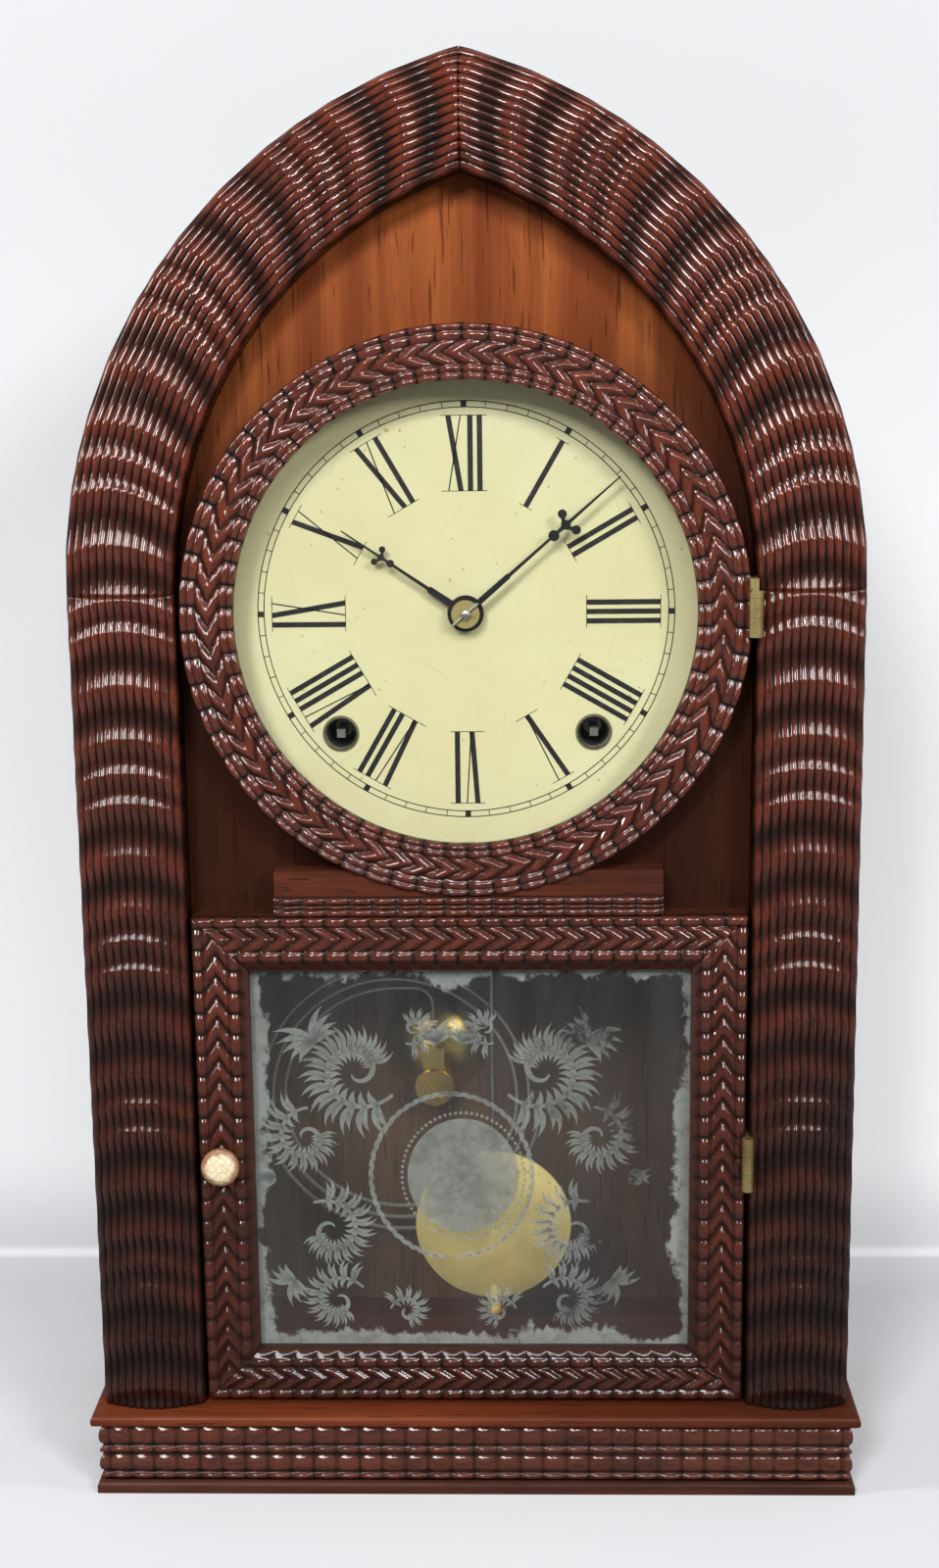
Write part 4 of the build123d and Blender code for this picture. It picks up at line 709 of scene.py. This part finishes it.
def ring_section(around):
    def at(radius, y):
        return radius * sin(-2 * pi * around), y, ring_z + radius * cos(2 * pi * around)

    section = []
    for share in strip_shares(ring_zones, 5):
        height, crest = chevron_profile(share, ring_ridges * around, ring_zones)
        spot = at(ring_outer - (ring_outer - ring_inner) * share, relief_y(height, cut_depth))
        section.append((clear_of_hinge(spot, upper_hinge), crest))
    return section + [(at(r, moulding_back_y), 0.3) for r in (ring_inner, ring_outer - ring_back_inset)]


made = length_of_moulding("ring_chevrons", ring_ridges * per_ridge, ring_section, ring_ripple, "door",
                          loop=True)
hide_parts("ring_moulding")
print("chevrons round the dial:", ring_ridges)

# %% [markdown]
# ## The door frame
# Four rails of the same cut, with a plain lip next to the glass, meet in mitres at the
# corners of the lower door.

# %% The four rails
def door_rail(name, start, along, inwards, length, ridges):
    """A mitred rail. Start is its outer corner in x and z, along and inwards are directions."""
    def at(run, inset, y):
        x, z = (start[i] + along[i] * run + inwards[i] * inset for i in (0, 1))
        return x, y, z

    def section_at(way):
        section = []
        for share in strip_shares(frame_zones, 6):
            inset = share * frame_width
            run = inset + way * (length - 2 * inset)
            height, crest = chevron_profile(share, ridges * run / length, frame_zones)
            spot = at(run, inset, relief_y(height, cut_depth))
            section.append((clear_of_hinge(spot, lower_hinge), crest))
        backs = (frame_width, 0.0)
        return section + [(at(b + way * (length - 2 * b), b, moulding_back_y), 0.3) for b in backs]

    return length_of_moulding(name, int(ridges * per_ridge), section_at, ring_ripple, "door")


wide, tall = 2 * door_half_width, frame_top_z - frame_bottom_z
low_left, low_right = (-door_half_width, frame_bottom_z), (door_half_width, frame_bottom_z)
top_left = (-door_half_width, frame_top_z)
bottom_rail = door_rail("bottom_rail_chevrons", low_left, (1, 0), (0, 1), wide, 25)
door_rail("top_rail_chevrons", top_left, (1, 0), (0, -1), wide, 25)
door_rail("left_stile_chevrons", low_left, (0, 1), (1, 0), tall, 23.5)
door_rail("right_stile_chevrons", low_right, (0, 1), (-1, 0), tall, 23.5)
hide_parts("frame_mouldings")
print("pieces so far:", len(made_pieces))

# %% [markdown]
# ## Beaded strips
# The base is banded with four rows of beads between thin grooves, two stout and two
# slim. Each row is a round back, notched along its length into beads.

# %% Rows of beads
bead_pitch = 8.0


def bead_rows(share, beads):
    """Which bead a height share falls on: (place across the bead, its size), or None."""
    groove = (1 - sum(beads)) / (len(beads) + 1)
    low = groove
    for size in beads:
        if low <= share <= low + size:
            return (share - low) / size, size
        low += size + groove
    return None


def beaded_heights(beads, fine):
    """The shares of the height at which a beaded strip needs points."""
    groove = (1 - sum(beads)) / (len(beads) + 1)
    heights, low = [0.0], 0.0
    for size in beads:
        low += groove
        heights += [low + size * i / fine for i in range(fine + 1)]
        low += size
    return heights + [1.0]


def beaded_point(share, run, beads):
    """How far a beaded strip stands out, 0 to 1, at a height share and a length, and its
    crest number."""
    spot = bead_rows(share, beads)
    if spot is None:
        return 0.0, 0.1
    across, size = spot
    hump = round_back(across) if 0 < across < 1 else 0.0
    beat = ridge_height(run / bead_pitch, bead_breadth)
    stout = size / max(beads)
    tint = (0.25 + 0.75 * ridge_height(run / bead_pitch, 2.4)) * (0.3 + 0.7 * hump)
    return (0.15 + 0.85 * hump) * (0.1 + 0.22 * stout + 0.68 * beat), tint


base_beads, bridge_beads = (0.09, 0.28, 0.11, 0.30), (0.34, 0.16, 0.34)
print("heights up the base:", len(beaded_heights(base_beads, 10)))

# %% [markdown]
# ## The base
# One strip runs along the front and one along each side. At the front corners they are
# mitred over the length of one bead.

# %% Base ripples
base_low_z, base_high_z = 4.0, 25.05
base_front_y, base_half_width, base_depth = -49.2, 131.1, 1.6
base_back_y, core_front_y = 50.8, -45.2
bead_step = 0.95


def base_strip(name, start, end, outwards, start_mitre, end_mitre):
    """One length of the base ripple, seen from above from start to end. Outwards points
    away from the case, and a mitre is 1 where that end is cut back with the depth."""
    length = hypot(end[0] - start[0], end[1] - start[1])

    def at(run, inset, z):
        from_start, from_end = (max(0, 1 - away / bead_pitch) for away in (run, length - run))
        run += inset * (start_mitre * from_start - end_mitre * from_end)
        x, y = (start[i] + (end[i] - start[i]) / length * run - outwards[i] * inset for i in (0, 1))
        return x, y, z

    def section_at(way):
        section = []
        for share in beaded_heights(base_beads, 10):
            out, crest = beaded_point(share, (way - 0.5) * length, base_beads)
            z = base_low_z + share * (base_high_z - base_low_z)
            section.append((at(way * length, base_depth * (1 - out), z), crest))
        backs = (base_high_z, base_low_z)
        return section + [(at(way * length, core_front_y - base_front_y, z), 0.3) for z in backs]

    return length_of_moulding(name, int(length / bead_step), section_at, base_ripple, "case")


front_left, front_right = (-base_half_width, base_front_y), (base_half_width, base_front_y)
front_strip = base_strip("base_ripple_front", front_left, front_right, (0, -1), 1, 1)
base_strip("base_ripple_right", front_right, (base_half_width, base_back_y), (1, 0), 1, 0)
base_strip("base_ripple_left", front_left, (-base_half_width, base_back_y), (-1, 0), 1, 0)
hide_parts("base_ripple")
print("pieces so far:", len(made_pieces))

# %% [markdown]
# ## The bridge
# A short strip with three rows of beads sits on the bridge under the dial ring.

# %% Bridge ripples
bridge_half_width, bridge_strip_height, bridge_back_y = 64.9, 7.0, -40.3
bridge_steps, bridge_cut, ring_gap = 130, 0.8, 0.1


def bridge_section(way):
    """The little strip is cut away where the dial ring sits on it."""
    x = bridge_half_width * (2 * way - 1)
    limit = ring_z - sqrt((ring_outer + ring_gap) ** 2 - x * x)
    section = []
    for share in beaded_heights(bridge_beads, 6):
        out, crest = beaded_point(share, x, bridge_beads)
        z = min(frame_top_z + share * bridge_strip_height, limit)
        section.append(((x, relief_y(out, bridge_cut), z), crest))
    high = min(frame_top_z + bridge_strip_height, limit)
    return section + [((x, bridge_back_y, z), 0.3) for z in (high, frame_top_z)]


made = length_of_moulding("bridge_ripples", bridge_steps, bridge_section, ring_ripple, "door")
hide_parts("bridge_ripple")
print("pieces so far:", len(made_pieces))

# %% [markdown]
# ## The minute track
# The track is two hairline circles joined by sixty ticks, stout at each hour.

# %% Circles and ticks
ink_front, ink_back = dial_y - 0.06, dial_y + 0.01
track_in, track_out, line = 66.8, 68.8, 0.32
hour_mark, minute_mark = 1.9, 0.26


def on_dial(turn, side, out):
    """A point at a side step and a radius, on the ray of a clockwise angle."""
    return sin(turn) * out + cos(turn) * side, ring_z + cos(turn) * out - sin(turn) * side


def stroke(turn, foot, head, width):
    """A straight stroke from (side, radius) to (side, radius)."""
    half = width / 2
    return [on_dial(turn, foot[0] - half, foot[1]), on_dial(turn, head[0] - half, head[1]),
            on_dial(turn, head[0] + half, head[1]), on_dial(turn, foot[0] + half, foot[1])]


for radius, word in ((track_in, "inner"), (track_out, "outer")):
    hoop = [(radius, ink_front), (radius + line, ink_front), (radius + line, ink_back), (radius, ink_back)]
    turned_ring("track_circle_" + word, (0, ring_z), hoop, 120, ink, "case")
ticks = []
for minute in range(60):
    width = minute_mark if minute % 5 else hour_mark
    ticks.append(stroke(2 * pi * minute / 60, (0, track_in), (0, track_out + line), width))
cut_sheet("minute_track", ticks, ink_front, ink_back, ink, "case")
print("ticks:", len(ticks))

# %% [markdown]
# ## The numerals
# Roman numerals stand with their feet to the centre, thick and thin strokes between two
# long hairline serifs, and four strokes make the four, as clock dials have it.

# %% Twelve hours
numeral_in, numeral_out = 39.9, 64.3
thick, thin, hair, step = 1.75, 0.42, 0.22, 3.1
thin_shift, serif_overhang = 0.25, 0.8
letters = {"I": 1.0, "V": 2.15, "X": 2.3}
hours = ("XII", "I", "II", "III", "IIII", "V", "VI", "VII", "VIII", "IX", "X", "XI")


def numeral(word, turn):
    """The strokes of one hour, written about the ray of a clockwise angle."""
    span = sum(letters[c] for c in word) * step
    low, high = numeral_in, numeral_out
    legs, at = [], -span / 2
    for c in word:
        left, right = at + 0.5 * step, at + (letters[c] - 0.5) * step
        middle = (left + right) / 2
        if c == "I":
            legs.append(((left, low), (left, high), thick))
        elif c == "V":
            legs += [((middle, low), (left, high), thick), ((middle + thin_shift, low), (right, high), thin)]
        else:
            legs += [((right, low), (left, high), thick), ((left, low), (right, high), thin)]
        at += letters[c] * step
    for radius in (low, high):
        legs.append(((0, radius - hair / 2), (0, radius + hair / 2), span + 2 * serif_overhang))
    return [stroke(turn, *leg) for leg in legs]


for hour, word in enumerate(hours):
    strokes = numeral(word, 2 * pi * hour / 12)
    cut_sheet("numeral_" + str(hour or 12), strokes, ink_front, ink_back, ink, "case")
print("hours:", " ".join(hours))

# %% [markdown]
# ## The glass tablet
# The lower pane was silvered and etched from behind. Time has flaked most of it away,
# leaving a ragged silver border and grey frosted ornament. The ornament here is
# a plain design of leafy scrolls about an empty wreath, cut as thin tapering ribbons.

# %% Ribbons and leaves
def ribbon(path, widths):
    """A tapering strip about a path of (x, z) points, as pairs of left and right points."""
    pairs = []
    for i, (x, z) in enumerate(path):
        ax, az = path[max(0, i - 1)]
        bx, bz = path[min(len(path) - 1, i + 1)]
        size = hypot(bx - ax, bz - az) or 1.0
        nx, nz = (az - bz) / size * widths[i] / 2, (bx - ax) / size * widths[i] / 2
        pairs.append(((x + nx, z + nz), (x - nx, z - nz)))
    return pairs


def on_scroll(t, x, z, start, turns, first, last):
    """The angle and the place at a share t of a scroll that winds in about x and z."""
    a, r = start + 2 * pi * turns * t, first + (last - first) * t ** 0.8
    return a, (x + r * cos(a), z + r * sin(a))


def leaf(x, z, heading, length, width, curl):
    """A pointed leaf that curls to one side."""
    path, widths = [], []
    for i in range(13):
        t = i / 12
        a = heading + curl * t
        path.append((x + length * t * cos(a), z + length * t * sin(a)))
        widths.append(width * sin(pi * min(0.98, t ** 0.8 + 0.02)))
    return ribbon(path, widths)


def spray(x, z, heading, count, spread, length, width, curl):
    """A fan of leaves, the middle ones longest."""
    found = []
    for i in range(count):
        t = i / (count - 1) - 0.5
        way, size = radians(heading) + spread * t, length * (1 - 0.8 * abs(t))
        found.append(leaf(x, z, way, size, width, curl if t > 0 else -curl))
    return found


def leafy_scroll(x, z, start, turns, first, last, width, count, leaf_length):
    """A scroll, thickest in its middle, with small leaves outside its first turn."""
    shape = (x, z, radians(start), turns, first, last)
    shares = [i / 44 for i in range(45)]
    widths = [width * (0.25 + sin(pi * min(1, 0.08 + 0.92 * t)) ** 0.7) for t in shares]
    found = [ribbon([on_scroll(t, *shape)[1] for t in shares], widths)]
    way = 1 if turns > 0 else -1
    for i in range(count):
        t = 0.05 + 0.6 * i / count
        a, (leaf_x, leaf_z) = on_scroll(t, *shape)
        size = leaf_length * (1 - 0.5 * t)
        for turn, share, curl in ((1.2, 1.0, -0.9), (0.75, 0.8, -0.6), (2.2, 0.5, 0.9)):
            found.append(leaf(leaf_x, leaf_z, a + turn * way, size * share, size * 0.2, curl * way))
    return found


print("leaves in a fan of nine:", len(spray(0, 0, 90, 9, 2.4, 15, 2.6, 0.6)))

# %% [markdown]
# ## Laying out the ornament
# Half of the design is listed about x = 0 and mirrored. A scroll is its centre, start
# angle, turns, first and last radius, width, number of leaves and their length; a spray
# is its foot, heading, number of leaves, spread, length, width and curl.

# %% The design
scroll_plan = ((32, 150, 215, 1.3, 15, 2.2, 1.8, 16, 12), (50, 126, 95, -1.25, 11, 1.6, 1.5, 13, 9),
               (42, 92, 60, 1.2, 12, 1.8, 1.5, 14, 9), (40, 66, 150, -1.2, 10, 1.5, 1.4, 13, 8),
               (16, 62, 10, 1.1, 6, 1.2, 1.1, 9, 6), (12, 165, 300, -1.1, 6, 1.2, 1.1, 9, 6))
spray_plan = ((46, 160, 50, 9, 2.4, 15, 2.6, 0.6), (61, 112, -10, 7, 2.2, 9, 2.0, -0.6),
              (55, 74, -40, 8, 2.3, 11, 2.2, 0.6), (4, 160, 75, 6, 1.5, 11, 2.2, 0.6))
wreath_z, wreath_wide, wreath_high = 112, 27, 29
wreath_angles = [radians(-87 + 7 * i) for i in range(26)]

half = [strip for plan in scroll_plan for strip in leafy_scroll(*plan)]
half += [strip for plan in spray_plan for strip in spray(*plan)]
half += [leaf(wreath_wide * cos(a), wreath_z + wreath_high * sin(a), a + radians(58), 5.4, 1.7, 0.5)
         for a in wreath_angles]
scroll_shift = -7
strips = [[tuple((side * x + scroll_shift, z) for x, z in pair) for pair in strip]
          for side in (1, -1) for strip in half]


def medallion(middle_x, middle_z, half_width, half_height):
    """A plain frosted oval for the middle of the wreath, with a ring of short dashes."""
    def at(reach, turn):
        return middle_x + half_width * reach * cos(turn), middle_z + half_height * reach * sin(turn)

    found = [[at(0.8, 2 * pi * i / 48) for i in range(48)]]
    for i in range(72):
        a, b = 2 * pi * i / 72, 2 * pi * (i + 0.55) / 72
        found.append([at(0.9, a), at(0.9, b), at(0.86, b), at(0.86, a)])
    return found


print("ornament strokes:", len(strips))

# %% [markdown]
# ## Films behind the pane
# The scrolls, the medallion and the silvering lie one behind another on the back of the
# glass.

# %% Three films
scroll_front_y, scroll_back_y = glass_back_y + 0.04, glass_back_y + 0.1
medal_front_y, medal_back_y = glass_back_y + 0.13, glass_back_y + 0.16
border_y = glass_back_y + 0.2


def ribbon_sheet(name, strips, front, back, finish):
    """Every strip as a closed band between a front and a back."""
    bands = [[[(a, front, b), (c, front, d), (c, back, d), (a, back, b)] for (a, b), (c, d) in strip]
             for strip in strips]
    return flat_sheet(name, bands, finish, "door")


def film_sheet(name, finish, y, columns, lines):
    """A thin sheet over the whole opening, in small squares."""
    rows = []
    for j in range(lines + 1):
        z = opening_low_z + (opening_high_z - opening_low_z) * j / lines
        rows.append([(opening_half_width * (2 * i / columns - 1), y, z) for i in range(columns + 1)])
    points = [p for row in rows for p in row]
    return piece(name, points, skin(rows, closed=False), finish, "door")


ribbon_sheet("tablet_scrolls", strips, scroll_front_y, scroll_back_y, scroll_film)
cut_sheet("tablet_medallion", medallion(-3, wreath_z, 24, 26), medal_front_y, medal_back_y, medallion_film,
          "door")
film_sheet("tablet_border", border_film, border_y, 30, 28)
print("pieces so far:", len(made_pieces))

# %% [markdown]
# ## Small metal and painted shade at the dial
# The centre arbor ends in a filed steel square in front of its washer. Behind each
# winding hole a black tube is a painted shade: it hides the works, so the hole looks black.

# %% Arbor square and the painted shade in the winding holes
arbor_corner = 1.97
arbor_square = ((0, -arbor_corner), (arbor_corner, 0), (0, arbor_corner), (-arbor_corner, 0))
arbor_ends = {0.0: (-33.7, 1.0), 0.5: (-34.9, 1.0), 1.0: (-35.3, 0.8)}


def arbor_section(share):
    y, size = arbor_ends[share]
    return [((x * size, y, ring_z + z * size), 0.5) for x, z in arbor_square]


length_of_moulding("arbor_square", 2, arbor_section, steel, "centre")

winding_x, winding_drop = 42.3, 40.3
shade_tube_outer, shade_tube_hole, shade_tube_wall = 4.9, 3.1, 0.3
shade_tube_front_y, shade_tube_back_y = -27.1, -12.7
inside, bottom = shade_tube_outer - shade_tube_wall, shade_tube_back_y - shade_tube_wall
shade_tube = [(shade_tube_outer, shade_tube_front_y), (shade_tube_outer, shade_tube_back_y), (shade_tube_hole, shade_tube_back_y),
          (shade_tube_hole, bottom), (inside, bottom), (inside, shade_tube_front_y)]
# Painted shade: a black tube behind each winding hole stands in for the dark inside the case.
for x, word in ((winding_x, "right"), (-winding_x, "left")):
    centre = (x, ring_z - winding_drop)
    turned_ring("winding_hole_shade_" + word, centre, shade_tube, 48, black_japan, "case")
print("pieces so far:", len(made_pieces))

# %% [markdown]
# ## Dressing the solid parts
# Every part that was not cut again keeps its solid shape and only gets a finish. The
# list below reads as a parts bin: one finish and the parts that wear it.

# %% Finishes for the solid parts
dress = {
    ledge_wood: "base_ledge",
    plinth_wood: "base_plinth base_core",
    side_wood: "side_wall_right side_wall_left",
    backing: "backboard",
    veneer: "front_panel",
    lip_wood: "ring_frame bridge_block door_frame glazing_strips",
    carcass: "movement_blocks",
    cream: "dial_pan",
    dial_pane: "dial_glass",
    tablet_pane: "tablet_glass",
    knob_bone: "door_knob",
    hinge_brass: "hinge_case_leaves hinge_door_leaves door_latch",
    rim_brass: "winding_grommets",
    hand_brass: "hand_washer",
    plate_brass: "front_plate back_plate plate_pillars pendulum_cock plate_studs rating_nut",
    wheel_brass: "centre_wheel hour_wheel minute_wheel time_main_wheel time_second_wheel time_fourth_wheel "
                 "escape_wheel strike_main_wheel strike_second_wheel pin_wheel warning_wheel fly",
    bob_brass: "pendulum_bob",
    dome_brass: "gong_base",
    gong_steel: "gong_coil",
    steel: "hand_pin time_winding_arbor strike_winding_arbor verge pendulum_rod hammer",
    spring_steel: "mainsprings",
    black_japan: "minute_hand hour_hand",
}
for finish, names in dress.items():
    for name in names.split():
        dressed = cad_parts[name].data.materials
        dressed.clear()
        dressed.append(finish)
print("dressed", sum(len(names.split()) for names in dress.values()), "solid parts")

# %% [markdown]
# ## Camera
# The photograph was taken from a little above the middle of the clock and slightly to
# the right of it. The spot, the three turns and the lens come from a fit to the picture.

# %% Camera
camera_spot = Vector((19.18, -698.47, 377.66)) * MM
yaw, pitch, roll = -0.0278, 0.1909, 0.0117
forward = Vector((sin(yaw) * cos(pitch), cos(yaw) * cos(pitch), -sin(pitch)))
level_right = Vector((cos(yaw), -sin(yaw), 0))
level_down = forward.cross(level_right)
right = cos(roll) * level_right + sin(roll) * level_down
down = -sin(roll) * level_right + cos(roll) * level_down
lens = bpy.data.cameras.new("camera")
lens.sensor_fit, lens.sensor_height, lens.lens = "VERTICAL", 36.0, 46.65
lens.clip_start = 0.01
camera = bpy.data.objects.new("camera", lens)
camera.matrix_world = Matrix.Translation(camera_spot) @ Matrix((right, -down, -forward)).transposed().to_4x4()
bpy.context.scene.collection.objects.link(camera)
bpy.context.scene.camera = camera
print("camera looks along", [round(v, 3) for v in forward])

# %% [markdown]
# ## Paper
# The clock stands on a sheet of white paper that bends up into a wall just behind it.
# Polished wood sees a dimmer paper than the camera does, which keeps a grey veil off
# the ripples. From its back the paper is clear, so the clock can be seen from behind.
# Sizes here are in metres.

# %% Floor and wall
def paper():
    """White paper with painted light and shade: brightest low on the wall, a little darker on the floor and
    further up the wall.
    """
    f = Finish("white paper")
    mottled = f.cloud(6, detail=3.0)
    from_behind = Number(f, f.node("ShaderNodeNewGeometry").outputs["Backfacing"])
    height = f.coordinate("Z") + 0.05 * (mottled - 0.5)
    # Painted light and shade: the low wall is painted lighter than the floor, and the wall darker further up.
    colour = f.blend(f.coordinate("Z").above(0.003, 0.05), (217, 218, 221), (244, 245, 247))
    colour = f.blend(height.above(0.05, 0.5), colour, (202, 203, 205))
    seen = f.node("ShaderNodeLightPath").outputs["Is Camera Ray"]
    colour = f.blend(seen, (128, 128, 130), colour)
    return f.done(f.surface(colour, {"Roughness": 0.7 + 0.1 * mottled, "Alpha": 1 - from_behind}))


front_y, wall_y, wall_z, corner, half_width = -0.55, 0.151, 2.6, 0.004, 2.5
bend = [radians(15 * k) for k in range(1, 7)]
profile = [(front_y, 0.0), (wall_y - corner, 0.0)]
profile += [(wall_y - corner + corner * sin(a), corner - corner * cos(a)) for a in bend]
profile.append((wall_y, wall_z))
rows = [[(-half_width, y, z), (half_width, y, z)] for y, z in profile]
mesh = bpy.data.meshes.new("paper_sweep")
mesh.from_pydata([p for row in rows for p in row], [], skin(rows, closed=False))
mesh.materials.append(paper())
sweep = bpy.data.objects.new("paper_sweep", mesh)
bpy.context.scene.collection.objects.link(sweep)
print("paper sweep in place")

# %% [markdown]
# ## Lamps
# Soft boxes high to the left and right of the camera put small bright marks on the
# crests. A long strip above the camera lights the floor and the ledge, and two small
# boxes beside the clock pick out its outer edges. Places are in metres.

# %% Lamps and world
def soft_box(name, spot, target, size, power):
    """A rectangular lamp at a spot, turned to a target."""
    lamp = bpy.data.lights.new(name, "AREA")
    lamp.shape, lamp.size, lamp.size_y, lamp.energy = "RECTANGLE", size[0], size[1], power
    made = bpy.data.objects.new(name, lamp)
    made.location = spot
    aim = Vector(target) - Vector(spot)
    made.rotation_euler = aim.to_track_quat("-Z", "Y").to_euler()
    bpy.context.scene.collection.objects.link(made)


soft_box("key_box", (-1.26, -3.42, 2.46), (0, 0, 0.3), (1.0, 1.0), 92.0)
soft_box("right_box", (2.34, -3.06, 2.03), (0, 0, 0.28), (0.9, 0.9), 78.0)
soft_box("top_strip", (0.1, -2.3, 2.3), (0, 0, 0.25), (2.4, 0.16), 43.0)
soft_box("left_edge_box", (-1.3, -0.25, 0.75), (0, 0, 0.3), (0.12, 0.6), 8.0)
soft_box("right_edge_box", (1.3, -0.25, 0.75), (0, 0, 0.3), (0.12, 0.6), 4.5)
world = bpy.data.worlds.new("white room")
bpy.context.scene.world = world
world.use_nodes = True
room = world.node_tree.nodes["Background"]
room.inputs["Color"].default_value = (0.93, 0.96, 1.0, 1)
room.inputs["Strength"].default_value = 0.16
bpy.context.scene.view_settings.view_transform = "Standard"
print("lamps:", len(bpy.data.lights))
